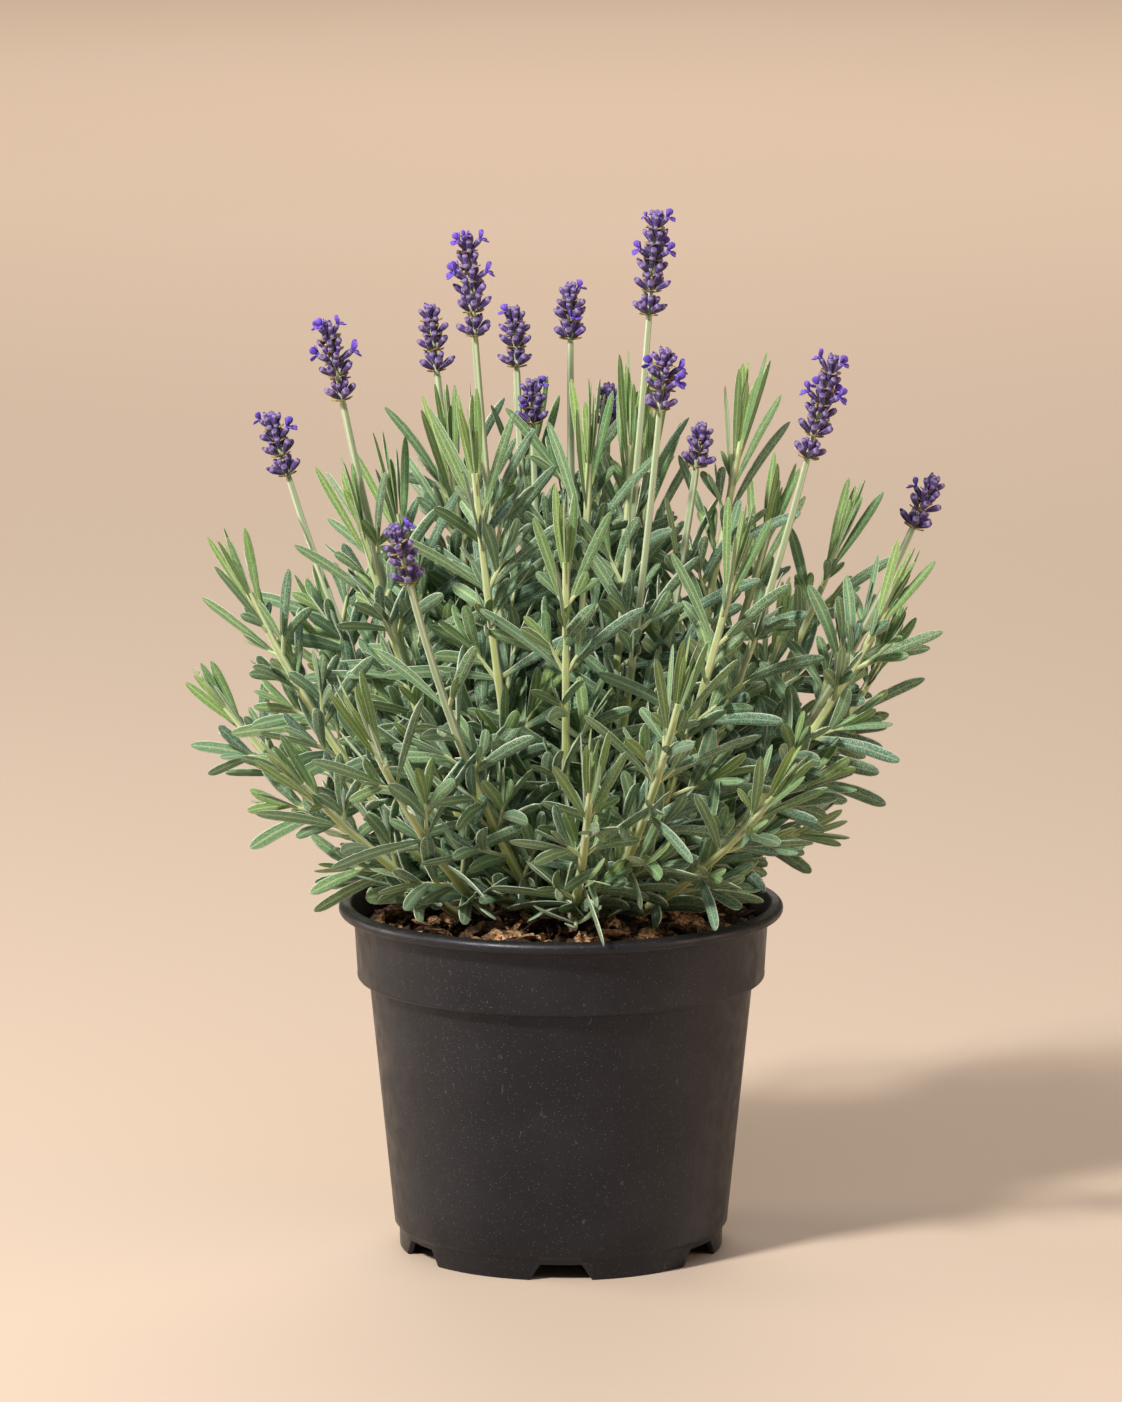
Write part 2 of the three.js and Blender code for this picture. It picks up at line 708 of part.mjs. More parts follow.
function makeHead(stem) {
  const { sides } = HEAD;
  const frame = shifted(stemFrame(stem, 0), CLEARANCE);
  const random = seededRandom(500 + stem.spike.length * 7 + stem.spike.whorls);
  const facets = new Facets();
  const ring = (height, radius, turn) => {
    const centre = frame.centre.clone().addScaledVector(frame.along, height);
    const points = [];
    for (let k = 0; k < sides; k += 1) {
      const angle = ((k + 0.5) * 2 * Math.PI) / sides + turn;
      points.push(centre.clone()
        .addScaledVector(frame.first, radius * Math.cos(angle))
        .addScaledVector(frame.second, radius * Math.sin(angle)));
    }
    return facets.loop(points);
  };
  let loop = ring(0, HEAD.footRadius, 0);
  facets.floor(loop);
  whorlHeights(stem.spike).forEach((height, index, all) => {
    const share = height / stem.spike.length;
    const radius = index === 0 ? HEAD.footRadius + 0.4 : HEAD.coreRadius - HEAD.coreTaper * share;
    const turn = (index * Math.PI) / sides;
    const lower = ring(height - HEAD.ring, radius, turn);
    facets.band(loop, lower, [], index > 0);
    loop = ring(height + HEAD.ring, radius, turn);
    const spread = (HEAD.spreadBelow - HEAD.spreadLoss * share) * DEGREE;
    const size = 1 - HEAD.sizeLoss * share;
    for (let k = 0; k < sides; k += 1) {
      const angle = ((k + 1) * 2 * Math.PI) / sides + turn;
      const outward = frame.first.clone().multiplyScalar(Math.cos(angle));
      outward.addScaledVector(frame.second, Math.sin(angle));
      const next = (k + 1) % sides;
      const corners = [lower[k], lower[next], loop[next], loop[k]];
      const length = BUD.length * size * (1 + jitter(random, 0.1));
      growBud(facets, corners, frame, { outward, length, spread, size });
    }
    if (index === all.length - 1) {
      const top = frame.centre.clone().addScaledVector(frame.along, stem.spike.length);
      facets.fan(loop, facets.add(top));
    }
  });
  return facets.geometry();
}

// One closed bud: it swells to its widest and ends in a point. Its sides stay inside
// its own share of the whorl, so that neighbours don't meet.
function growBud(facets, rootLoop, frame, bud) {
  const { along } = frame;
  const root = facets.middle(rootLoop);
  const direction = along.clone().multiplyScalar(Math.cos(bud.spread));
  direction.addScaledVector(bud.outward, Math.sin(bud.spread));
  const across = new THREE.Vector3().crossVectors(along, bud.outward);
  const upper = new THREE.Vector3().crossVectors(direction, across);
  const middle = root.clone().addScaledVector(direction, bud.length * BUD.widest);
  const fromAxis = middle.clone().sub(frame.centre).dot(bud.outward);
  const fullHalf = (BUD.width * bud.size) / 2;
  const deep = Math.min(fullHalf * BUD.flatness, fromAxis / 2);
  const corner = (sideways, upwards) => {
    const cornerFromAxis = fromAxis - upwards * deep * Math.cos(bud.spread);
    const half = Math.min(fullHalf, cornerFromAxis * Math.tan(Math.PI / HEAD.sides) * 0.93);
    return middle.clone()
      .addScaledVector(across, sideways * half)
      .addScaledVector(upper, upwards * deep);
  };
  const swell = facets.loop([corner(-1, -1), corner(1, -1), corner(1, 1), corner(-1, 1)]);
  facets.band(rootLoop, swell);
  const tip = root.clone();
  tip.addScaledVector(direction, bud.length * 0.9);
  tip.addScaledVector(along, bud.length * 0.1);
  facets.fan(swell, facets.add(tip));
}

// ---------------------------------------------------------------- the whole plant

function number(index) {
  return String(index + 1).padStart(2, '0');
}

// Pushes the feet of the stems apart until each has room in the crown.
function spreadFeet(rows) {
  for (let round = 0; round < 60; round += 1) {
    for (let i = 0; i < rows.length; i += 1) {
      for (let j = i + 1; j < rows.length; j += 1) {
        const [a, b] = [rows[i].foot, rows[j].foot];
        const apart = Math.hypot(a[0] - b[0], a[1] - b[1]);
        const push = (STEM.footSpacing - apart) / (2 * apart);
        if (push > 0) {
          const [x, y] = [(a[0] - b[0]) * push, (a[1] - b[1]) * push];
          rows[i].foot = [a[0] + x, a[1] + y];
          rows[j].foot = [b[0] - x, b[1] - y];
        }
      }
    }
  }
}

// Where every stem stands, before any leaf grows.
function layAllStems() {
  const random = seededRandom(2024);
  const rows = [...SPIKES, ...SHOOTS].map((row) => ({ ...row, foot: [...row.foot] }));
  for (const row of BACK_ROWS) {
    for (const bearing of row.bearings) {
      const reach = row.reach + jitter(random, BACK_JITTER.reach);
      const height = row.height + jitter(random, BACK_JITTER.height);
      const x = Math.cos(bearing * DEGREE);
      const y = Math.sin(bearing * DEGREE);
      const foot = [row.footReach * x, row.footReach * y];
      const tip = [reach * x, reach * y, height];
      rows.push({ foot, tip, sweep: row.sweep, pairs: LEAF.pairsBehind });
    }
  }
  spreadFeet(rows);
  const stems = rows.map((row, i) => {
    const stem = layStem(row);
    if (row.head) {
      return { ...stem, name: `flowering_stem_${number(i)}`, spike: row, bare: row.bare };
    }
    const pairs = row.pairs ?? LEAF.pairsOnShoot;
    return { ...stem, name: `leafy_shoot_${number(i - SPIKES.length)}`, pairs };
  });
  for (const stem of stems) {
    const top = stem.curve.getPoint(1 - (stem.bare ?? 0) / stem.length);
    stem.vigour ??= VIGOUR.share + VIGOUR.perHeight * (top.z - VIGOUR.atHeight)
      - VIGOUR.perReach * Math.hypot(top.x, top.y);
    stem.turn = jitter(random, STEM.anyTurn) * DEGREE;
    stem.places = pairPlaces(stem);
    stem.leaves = [];
  }
  return stems;
}

function keepRoomForStems(stems) {
  for (const stem of stems) {
    const steps = Math.ceil(stem.length / BALL.stemStep);
    for (let i = 0; i < steps; i += 1) {
      const from = stem.curve.getPoint(i / steps);
      const to = stem.curve.getPoint((i + 1) / steps);
      addBalls(from, to, BALL.stem, stem.name);
    }
    const end = stemFrame(stem, 0);
    const reach = stem.bare ? stem.spike.length : STEM.spear;
    const radius = stem.bare ? BALL.head : BALL.spear;
    addBalls(end.centre, shifted(end, reach).centre, radius, stem.name);
  }
}

// All tips first, then the next pair down on every stem, so that the outside of the
// bush keeps its shape and the crowded inside gives way.
function growLeaves(stems) {
  const random = seededRandom(31);
  const deepest = Math.max(...stems.map((stem) => stem.places.length));
  for (let order = 0; order < deepest; order += 1) {
    for (const stem of stems) {
      const place = stem.places[order];
      if (!place) {
        continue;
      }
      for (const face of [order % 2, (order % 2) + 2]) {
        const leaf = placeLeaf(stem, place, face, random);
        if (leaf) {
          stem.leaves.push(leaf);
          for (let i = 1; i < leaf.spine.length; i += 1) {
            addBalls(leaf.spine[i - 1], leaf.spine[i], leafBall(leaf), stem.name);
          }
        }
      }
    }
  }
}

const pottedLavender = new THREE.Group();
const allStems = layAllStems();
keepRoomForStems(allStems);
growLeaves(allStems);
pottedLavender.add(piece('pot', makePot(), COLOUR.pot, 0.6));
pottedLavender.add(piece('growing_medium', makeSoil(allStems), COLOUR.soil, 0.95));
for (const stem of allStems) {
  const colour = stem.bare ? COLOUR.flowering : COLOUR.shoot;
  pottedLavender.add(piece(stem.name, makeStem(stem), colour, 0.75));
  if (stem.bare) {
    const name = stem.name.replace('flowering_stem', 'flower_head');
    pottedLavender.add(piece(name, makeHead(stem), COLOUR.flower, 0.7));
  }
}

export default pottedLavender;
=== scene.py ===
# %% [markdown]
# # A potted lavender
# This file dresses a measured model of a flowering lavender in its nursery pot. The plain
# solids come first, loaded as a fixed frame in metres; every piece made here stands in
# their place, at their size, and carries the finish. Each code cell makes one thing, or
# one group of like things, and prints what it made, so the file reads from top to bottom.

# %% Load the measured model
import json
import math

import bmesh
import bpy
import numpy as np
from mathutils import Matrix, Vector

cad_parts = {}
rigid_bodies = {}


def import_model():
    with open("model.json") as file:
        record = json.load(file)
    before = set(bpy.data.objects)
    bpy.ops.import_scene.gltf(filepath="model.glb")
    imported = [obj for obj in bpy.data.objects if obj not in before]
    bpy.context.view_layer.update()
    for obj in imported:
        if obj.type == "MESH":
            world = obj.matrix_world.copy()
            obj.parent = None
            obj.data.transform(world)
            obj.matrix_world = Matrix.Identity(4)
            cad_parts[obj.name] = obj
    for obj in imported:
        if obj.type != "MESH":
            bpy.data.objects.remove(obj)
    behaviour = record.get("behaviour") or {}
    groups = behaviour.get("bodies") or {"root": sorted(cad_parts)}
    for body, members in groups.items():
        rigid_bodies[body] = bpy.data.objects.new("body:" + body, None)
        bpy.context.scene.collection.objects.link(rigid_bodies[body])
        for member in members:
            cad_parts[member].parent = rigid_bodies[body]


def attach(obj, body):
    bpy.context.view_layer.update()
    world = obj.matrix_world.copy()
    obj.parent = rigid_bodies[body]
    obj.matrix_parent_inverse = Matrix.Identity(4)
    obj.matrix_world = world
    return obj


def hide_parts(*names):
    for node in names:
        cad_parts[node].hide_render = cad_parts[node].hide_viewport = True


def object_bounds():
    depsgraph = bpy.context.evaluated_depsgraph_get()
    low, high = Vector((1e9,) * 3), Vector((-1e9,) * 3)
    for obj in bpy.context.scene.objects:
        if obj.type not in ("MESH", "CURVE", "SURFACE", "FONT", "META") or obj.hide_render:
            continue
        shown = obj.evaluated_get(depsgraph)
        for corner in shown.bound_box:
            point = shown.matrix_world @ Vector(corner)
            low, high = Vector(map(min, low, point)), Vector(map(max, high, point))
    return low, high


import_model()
CAD_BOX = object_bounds()
MM = 0.001
print("the measured model reaches from", CAD_BOX[0], "to", CAD_BOX[1])

# %% [markdown]
# ## Small tools
# Colours are written as the hex values that a painter would pick on a screen, and one
# function turns them into the linear light that shaders work with. A second function adds
# a node, sets its options and links its inputs; shaders and geometry trees both use it.

# %% Colour and node helpers
def srgb(code):
    """A '#rrggbb' screen colour as linear red, green, blue and a full alpha."""
    parts = [int(code[i:i + 2], 16) / 255 for i in (1, 3, 5)]
    linear = [p / 12.92 if p <= 0.04045 else ((p + 0.055) / 1.055) ** 2.4 for p in parts]
    return (*linear, 1.0)


def node(tree, kind, inputs=None, **options):
    """Adds a node. A key of inputs is a socket's name or number, and a value is either
    a plain value, another node (its first output) or one output socket."""
    new = tree.nodes.new(kind)
    for name, value in options.items():
        setattr(new, name, value)
    for key, value in (inputs or {}).items():
        if isinstance(value, bpy.types.Node):
            value = value.outputs[0]
        if isinstance(value, bpy.types.NodeSocket):
            tree.links.new(value, new.inputs[key])
        else:
            new.inputs[key].default_value = value
    return new


def mesh_object(name, vertices, faces, edges=()):
    """A new object at the origin with its shape in its mesh, in metres."""
    mesh = bpy.data.meshes.new(name)
    mesh.from_pydata(vertices, edges, faces)
    mesh.update()
    made = bpy.data.objects.new(name, mesh)
    bpy.context.scene.collection.objects.link(made)
    return made


def baked(made):
    """Replaces an object that has live modifiers by a plain mesh of the same name."""
    graph = bpy.context.evaluated_depsgraph_get()
    mesh = bpy.data.meshes.new_from_object(made.evaluated_get(graph), depsgraph=graph)
    made.modifiers.clear()
    made.data = mesh
    mesh.name = made.name
    return made

# %% [markdown]
# ### Finishes built from soft patches
# Stains, hairs and wear have no hard edges. A finish here is a ground colour, and further
# colours are laid over it where a soft noise or a number that the mesh carries says so.
# The noise is sized in millimetres on the object, so its scale can be checked with a ruler.

# %% Helpers for finishes
PLANT_IOR = 1.45  # leaves, bark and paint all lie close to it


def new_material(name, settings):
    """A material whose Principled shader has these plain values on its sockets."""
    material = bpy.data.materials.new(name)
    material.use_nodes = True
    shader = material.node_tree.nodes["Principled BSDF"]
    for label, value in {"IOR": PLANT_IOR, **settings}.items():
        shader.inputs[label].default_value = value
    return material, material.node_tree, shader


def grain(tree, size_mm, detail, stretch=(1, 1, 1)):
    """Soft noise whose blotches are about size_mm across on the object itself."""
    at = node(tree, "ShaderNodeTexCoord").outputs["Object"]
    at = node(tree, "ShaderNodeMapping", {"Vector": at, "Scale": stretch})
    return node(tree, "ShaderNodeTexNoise", {
        "Vector": at, "Scale": 1 / (size_mm * MM), "Detail": detail,
    })


def patches(tree, size_mm, detail, start, full, stretch=(1, 1, 1), to=(0.0, 1.0)):
    """Soft-edged patches of that noise: none below start, all of it above full."""
    return node(tree, "ShaderNodeMapRange", {
        "Value": grain(tree, size_mm, detail, stretch), "From Min": start, "From Max": full,
        "To Min": to[0], "To Max": to[1],
    }, interpolation_type="SMOOTHSTEP")


def laid_over(tree, base, colour, *shares):
    """A colour laid over a base as strongly as all the shares multiplied together. Both
    are a hex value or the output of another such step."""
    share, *others = shares
    for other in others:
        share = node(tree, "ShaderNodeMath", {0: share, 1: other}, operation="MULTIPLY")
    base, colour = (srgb(c) if isinstance(c, str) else c for c in (base, colour))
    return node(tree, "ShaderNodeMix", {0: share, 6: base, 7: colour},
                data_type="RGBA").outputs[2]

# %% [markdown]
# ## Camera, light and floor
# The view is a long lens from three metres away, a little above the flowers and tilted
# down by about ten degrees. The pot gave it: its lip, band and foot are circles of known
# size. The main lamp is small and warm and stands to the upper left in front. A broad cool
# one high in front gives the pot's lip its sheen. A low one at the left and a weak warm
# one at the right draw the sides of the pot. The floor is plain, with a lamp of its own
# far behind.

# %% Camera
FRAME_PIXELS = (1122, 1402)
FOCAL_PIXELS = 7269
SENSOR_MM = 36
CAMERA_PLACE = (0.0, -3.049, 0.7527)
CAMERA_TILT = 0.1678

camera_data = bpy.data.cameras.new("camera")
camera_data.sensor_width = SENSOR_MM
camera_data.lens = FOCAL_PIXELS * SENSOR_MM / max(FRAME_PIXELS)
camera = bpy.data.objects.new("camera", camera_data)
camera.location = CAMERA_PLACE
camera.rotation_euler = (math.pi / 2 - CAMERA_TILT, 0, 0)
bpy.context.scene.collection.objects.link(camera)
bpy.context.scene.camera = camera
print(f"camera lens {camera_data.lens:.1f} mm")

# %% Light
MIDDLE = (0, 0, 0.24)

# Name, place, what it shines at, width in metres, watts and colour of each lamp.
LAMPS = (
    ("key_light", (-1.5, -1.7, 2.3), MIDDLE, 0.42, 155, "#fff6ea"),
    ("sky", (0.5, -2.3, 3.2), MIDDLE, 2.3, 27, "#dde7ff"),
    ("left_edge", (-2.0, 0.5, 0.7), MIDDLE, 1.1, 25, "#fff1de"),
    ("warm_side", (1.7, -0.5, 0.5), MIDDLE, 1.2, 13, "#ffdcb4"),
    ("floor_behind", (0, 5.6, 4.2), (0, 5.6, 0), 6.0, 375, "#ffefdf"),
)

for name, place, target, width, watts, colour in LAMPS:
    data = bpy.data.lights.new(name, "AREA")
    data.shape = "DISK"
    data.size = width
    data.energy = watts
    data.color = srgb(colour)[:3]
    lamp = bpy.data.objects.new(name, data)
    lamp.location = place
    lamp.rotation_euler = (Vector(target) - Vector(place)).to_track_quat("-Z", "Y").to_euler()
    bpy.context.scene.collection.objects.link(lamp)
print(len(LAMPS), "lamps")

world = bpy.data.worlds.new("studio")
world.use_nodes = True
world.node_tree.nodes["Background"].inputs["Color"].default_value = srgb("#f1e3cd")
world.node_tree.nodes["Background"].inputs["Strength"].default_value = 0.2
bpy.context.scene.world = world
bpy.context.scene.view_settings.view_transform = "Standard"

# %% Floor
FLOOR_REACH = 12.0

floor = mesh_object("floor", [
    (-FLOOR_REACH, -FLOOR_REACH, 0), (FLOOR_REACH, -FLOOR_REACH, 0),
    (FLOOR_REACH, FLOOR_REACH, 0), (-FLOOR_REACH, FLOOR_REACH, 0),
], [(0, 1, 2, 3)])
floor_paint, floor_tree, floor_shader = new_material("pale_floor", {"Roughness": 0.8})
mottle = patches(floor_tree, 900, 1.0, 0.3, 0.7)
floor_tree.links.new(laid_over(floor_tree, "#b3a598", "#b4a69a", mottle),
                     floor_shader.inputs["Base Color"])
floor.data.materials.append(floor_paint)

# %% [markdown]
# ## The pot
# A three-litre nursery pot is thin polypropylene, moulded in one shot: a rolled lip, a
# straight band under it, a small step in to the tapering body, and a foot ring with six
# notches that let water drain away. A turned outline gives all of that but the notches,
# so the outline is swept round the axis as rings of points, and the floor line of the
# foot ring follows a height rule that rises over each notch. That keeps every face a
# clean quad, with no cutting. Only the drainage holes are cut, by a Boolean modifier.

# %% Outline of the pot, in millimetres: distance from the axis and height
POT_HEIGHT = 150
LIP_RADIUS = 95
LIP_HEIGHT = 5.3
MOUTH_RADIUS = 89.4
NECK_RADIUS = 88.5
BAND_RADIUS = 87.1
BAND_FOOT = 120.5
SHOULDER_RADIUS = 82
SHOULDER_HEIGHT = 117
BODY_FOOT_RADIUS = 71.5
BODY_FOOT_HEIGHT = 11
FOOT_RADIUS = 69.3
FOOT_HEIGHT = 8.5
POT_WALL = 1.8
FLOOR_UNDERSIDE = 7
FLOOR_TOP = 9
FOOT_RING_WIDTH = 2.6


def arc(middle_r, middle_z, radius, start, end, steps):
    """Points of a round stretch of the outline, from start to end in degrees."""
    turns = [math.radians(start + (end - start) * i / steps) for i in range(steps + 1)]
    return [(middle_r + radius * math.cos(t), middle_z + radius * math.sin(t)) for t in turns]


def straight(start, end, steps):
    """Points between two corners of the outline, without the last one."""
    return [tuple(a + (b - a) * i / steps for a, b in zip(start, end)) for i in range(steps)]


def outer_outline():
    """From just over the notches up the outside and over the lip to the mouth."""
    half_lip = LIP_HEIGHT / 2
    lip_foot = POT_HEIGHT - LIP_HEIGHT
    line = [(FOOT_RADIUS + 0.2, FOOT_HEIGHT), (FOOT_RADIUS + 0.7, FOOT_HEIGHT + 0.5)]
    line += [(BODY_FOOT_RADIUS - 0.5, BODY_FOOT_HEIGHT - 0.6)]
    line += straight((BODY_FOOT_RADIUS, BODY_FOOT_HEIGHT),
                     (SHOULDER_RADIUS, SHOULDER_HEIGHT - 1), 8)
    line += arc(SHOULDER_RADIUS + 0.9, SHOULDER_HEIGHT - 0.9, 0.9, 180, 90, 3)
    line += arc(BAND_RADIUS - 1.7, SHOULDER_HEIGHT + 1.8, 1.8, -80, 0, 5)
    line += straight((BAND_RADIUS, BAND_FOOT), (NECK_RADIUS, lip_foot - 0.8), 3)
    line += arc(NECK_RADIUS + 0.8, lip_foot - 0.8, 0.8, 180, 90, 3)
    line += arc(LIP_RADIUS - half_lip, lip_foot + half_lip, half_lip, -90, 90, 10)
    line += arc(MOUTH_RADIUS + 1.2, POT_HEIGHT - 1.2, 1.2, 90, 180, 5)
    return line


def inner_outline():
    """Down the inside to the floor."""
    return [
        (NECK_RADIUS - POT_WALL, POT_HEIGHT - LIP_HEIGHT - POT_WALL),
        (BAND_RADIUS - POT_WALL, BAND_FOOT + POT_WALL / 2),
        (SHOULDER_RADIUS - POT_WALL, SHOULDER_HEIGHT + POT_WALL),
        (BODY_FOOT_RADIUS - POT_WALL, FLOOR_TOP + 2),
        (BODY_FOOT_RADIUS - POT_WALL - 2, FLOOR_TOP),
    ]

# %% The rule for the foot ring's notches
NOTCHES = 6
NOTCH_WIDE = 26.7
NOTCH_NARROW = 17.5
NOTCH_HEIGHT = 6.8
FRONT = -math.pi / 2


def notch_columns():
    """Angles of the columns of points: more of them where a notch starts and ends."""
    wide = math.asin(NOTCH_WIDE / 2 / FOOT_RADIUS)
    narrow = math.asin(NOTCH_NARROW / 2 / FOOT_RADIUS)
    sector = math.pi / NOTCHES
    soft = 0.006
    side = [narrow - soft, narrow, narrow + soft, (narrow + wide) / 2]
    side += [wide - soft, wide, wide + soft]
    middle = list(np.linspace(0, narrow - soft, 4)[:-1])
    pad = list(np.linspace(wide + soft, sector, 8)[1:])
    half = middle + side + pad
    offsets = sorted({-a for a in half[1:-1]} | set(half))
    return [FRONT + k * 2 * sector + a for k in range(NOTCHES) for a in offsets]


def floor_line(angle):
    """Height of the foot ring's lower edge: zero on a pad, the notch's height in a notch."""
    sector = 2 * math.pi / NOTCHES
    offset = abs((angle - FRONT + sector / 2) % sector - sector / 2)
    along = FOOT_RADIUS * math.sin(offset)
    slope = (NOTCH_WIDE / 2 - along) / ((NOTCH_WIDE - NOTCH_NARROW) / 2)
    return NOTCH_HEIGHT * min(1, max(0, slope))

# %% Sweep the outline round the axis
CLOSING_RING = 30
FOOT_EDGE = 0.5
DRAIN_CIRCLE = 46
DRAIN_RADIUS = 6
DRAIN_SIDES = 24
DRAIN_CUT = 6


def ring_quads(first, count, rings):
    """Quads between rings of count points each, the lowest starting at point first."""
    faces = []
    for low in range(first, first + (rings - 1) * count, count):
        for i in range(count):
            j = (i + 1) % count
            faces.append((low + i, low + j, low + count + j, low + count + i))
    return faces


def turned_mesh(name, rings, angles, height_of):
    """Rings of points joined by quads; the first and last ring close on the axis."""
    points = []
    for ring_number, (radius, height) in enumerate(rings):
        for angle in angles:
            z = height_of(ring_number, angle, height)
            points.append((radius * math.cos(angle) * MM, radius * math.sin(angle) * MM, z * MM))
    count = len(angles)
    faces = ring_quads(0, count, len(rings))
    points += [(0, 0, rings[0][1] * MM), (0, 0, rings[-1][1] * MM)]
    last = (len(rings) - 1) * count
    for i in range(count):
        j = (i + 1) % count
        faces.append((j, i, len(points) - 2))
        faces.append((last + i, last + j, len(points) - 1))
    return mesh_object(name, points, faces)


def make_pot():
    foot_inner = FOOT_RADIUS - FOOT_RING_WIDTH
    underside = [(CLOSING_RING, FLOOR_UNDERSIDE), (foot_inner - 1, FLOOR_UNDERSIDE)]
    foot_ring = [
        (foot_inner, FOOT_EDGE), (foot_inner + FOOT_EDGE, 0),
        (FOOT_RADIUS - FOOT_EDGE, 0), (FOOT_RADIUS, FOOT_EDGE),
    ]
    inside = inner_outline() + [(CLOSING_RING, FLOOR_TOP)]
    first, after = len(underside), len(underside) + len(foot_ring)

    def height_of(ring_number, angle, height):
        return height + floor_line(angle) if first <= ring_number < after else height

    return turned_mesh("pot_moulding", underside + foot_ring + outer_outline() + inside,
                       notch_columns(), height_of)

# %% Drainage holes
def drain_cutters():
    """Short pegs that the drainage holes are cut with."""
    made = mesh_object("drain_cutters", [], [])
    shape = bmesh.new()
    for k in range(NOTCHES):
        turn = FRONT + math.pi / NOTCHES + k * 2 * math.pi / NOTCHES
        place = Vector((DRAIN_CIRCLE * math.cos(turn), DRAIN_CIRCLE * math.sin(turn),
                        (FLOOR_TOP + FLOOR_UNDERSIDE) / 2)) * MM
        bmesh.ops.create_cone(shape, cap_ends=True, segments=DRAIN_SIDES,
                              radius1=DRAIN_RADIUS * MM, radius2=DRAIN_RADIUS * MM,
                              depth=DRAIN_CUT * MM)
        bmesh.ops.translate(shape, vec=place, verts=shape.verts[-2 * DRAIN_SIDES:])
    shape.to_mesh(made.data)
    shape.free()
    return made


pot = make_pot()
cutters = drain_cutters()
cut = pot.modifiers.new("drainage", "BOOLEAN")
cut.object = cutters
cut.operation = "DIFFERENCE"
cut.solver = "EXACT"
baked(pot)
bpy.data.objects.remove(cutters)
pot.data.set_sharp_from_angle(angle=math.radians(50))
print("pot:", len(pot.data.vertices), "points, size in mm",
      [round(side / MM, 1) for side in pot.dimensions])

# %% [markdown]
# ### Moulded polypropylene
# Black recycled polypropylene is never quite black: it scatters a little light, so it
# looks like dark slate, with a half-gloss skin that blurs reflections. Handling leaves
# fine pale specks and short upright scuffs. Every pattern is sized from the real thing:
# the specks are half a millimetre, drawn a little larger so that they show, and the
# scuffs are about a millimetre wide and four long.

# %% Pot material
SPECK_SPACING = 0.85


def roughened(tree, shader, size_mm, detail, strength, depth_mm):
    """Bumps the surface with noise: blotches of size_mm that stand depth_mm high."""
    bump = node(tree, "ShaderNodeBump", {
        "Height": grain(tree, size_mm, detail), "Strength": strength, "Distance": depth_mm * MM,
    })
    tree.links.new(bump.outputs[0], shader.inputs["Normal"])


def pale_specks(tree):
    """A small round mark in the middle of some of the cells of a cell pattern."""
    cells = node(tree, "ShaderNodeTexVoronoi", {
        "Vector": node(tree, "ShaderNodeTexCoord").outputs["Object"],
        "Scale": 1 / (SPECK_SPACING * MM),
    })
    picked = node(tree, "ShaderNodeSeparateColor", {0: cells.outputs["Color"]})
    near = node(tree, "ShaderNodeMapRange", {
        "Value": cells.outputs["Distance"], "From Min": 0.32, "From Max": 0.14,
    }, interpolation_type="SMOOTHSTEP")
    chosen = node(tree, "ShaderNodeMapRange", {
        "Value": picked, "From Min": 0.7, "From Max": 1.0,
    }, interpolation_type="SMOOTHSTEP")
    return node(tree, "ShaderNodeMath", {0: near, 1: chosen}, operation="MULTIPLY")


def make_polypropylene():
    # The cool specular tint is a painted reflection colour: it gives the pot's reflections the
    # blue of a sky.
    material, tree, shader = new_material("moulded_black_polypropylene", {
        "IOR": 1.49, "Specular IOR Level": 0.42, "Specular Tint": srgb("#e4e9ff"),
    })
    base = laid_over(tree, "#121214", "#1a1a1d", patches(tree, 38, 4.0, 0.35, 0.7))
    scuffs = patches(tree, 1.2, 2.0, 0.66, 0.8, stretch=(1, 1, 0.3))
    marks = node(tree, "ShaderNodeMath", {
        0: node(tree, "ShaderNodeMath", {0: pale_specks(tree), 1: 0.33}, operation="MULTIPLY"),
        1: node(tree, "ShaderNodeMath", {0: scuffs, 1: 0.16}, operation="MULTIPLY"),
    }, operation="ADD", use_clamp=True)
    tree.links.new(laid_over(tree, base, "#8c8a88", marks), shader.inputs["Base Color"])
    skin = patches(tree, 9, 5.0, 0.3, 0.7, to=(0.36, 0.5))
    tree.links.new(skin.outputs[0], shader.inputs["Roughness"])
    roughened(tree, shader, 0.8, 3.0, 0.3, 0.2)
    return material


pot.data.materials.append(make_polypropylene())
for polygon in pot.data.polygons:
    polygon.use_smooth = True
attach(pot, "root")
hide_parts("pot")

# %% [markdown]
# ## The growing medium
# The pot is filled to a finger's width under the lip with composted bark: dark, damp
# crumbs with flat fibrous chips on top, up to two centimetres long. The fill itself is a
# turned form with a rough top. The chips are strewn by geometry nodes: points are
# scattered over the top, each gets one of a few chip shapes, a random turn and tilt, and
# a size. Scattering by rule keeps the chips even, and one seed makes it repeatable.

# %% The fill
SOIL_EDGE = 138.5
SOIL_CROWN = 143
CROWN_RADIUS = 46.5
SOIL_GAP = 0.4
SOIL_BUMPS = 0.75
TOP_RINGS = 26
FILL_COLUMNS = 96


def soil_height(radius):
    """Height of the surface in millimetres: a low flat crown that falls to the pot's wall."""
    edge = BAND_RADIUS - POT_WALL
    fall = max(0, (radius - CROWN_RADIUS) / (edge - CROWN_RADIUS))
    return SOIL_CROWN - (SOIL_CROWN - SOIL_EDGE) * fall


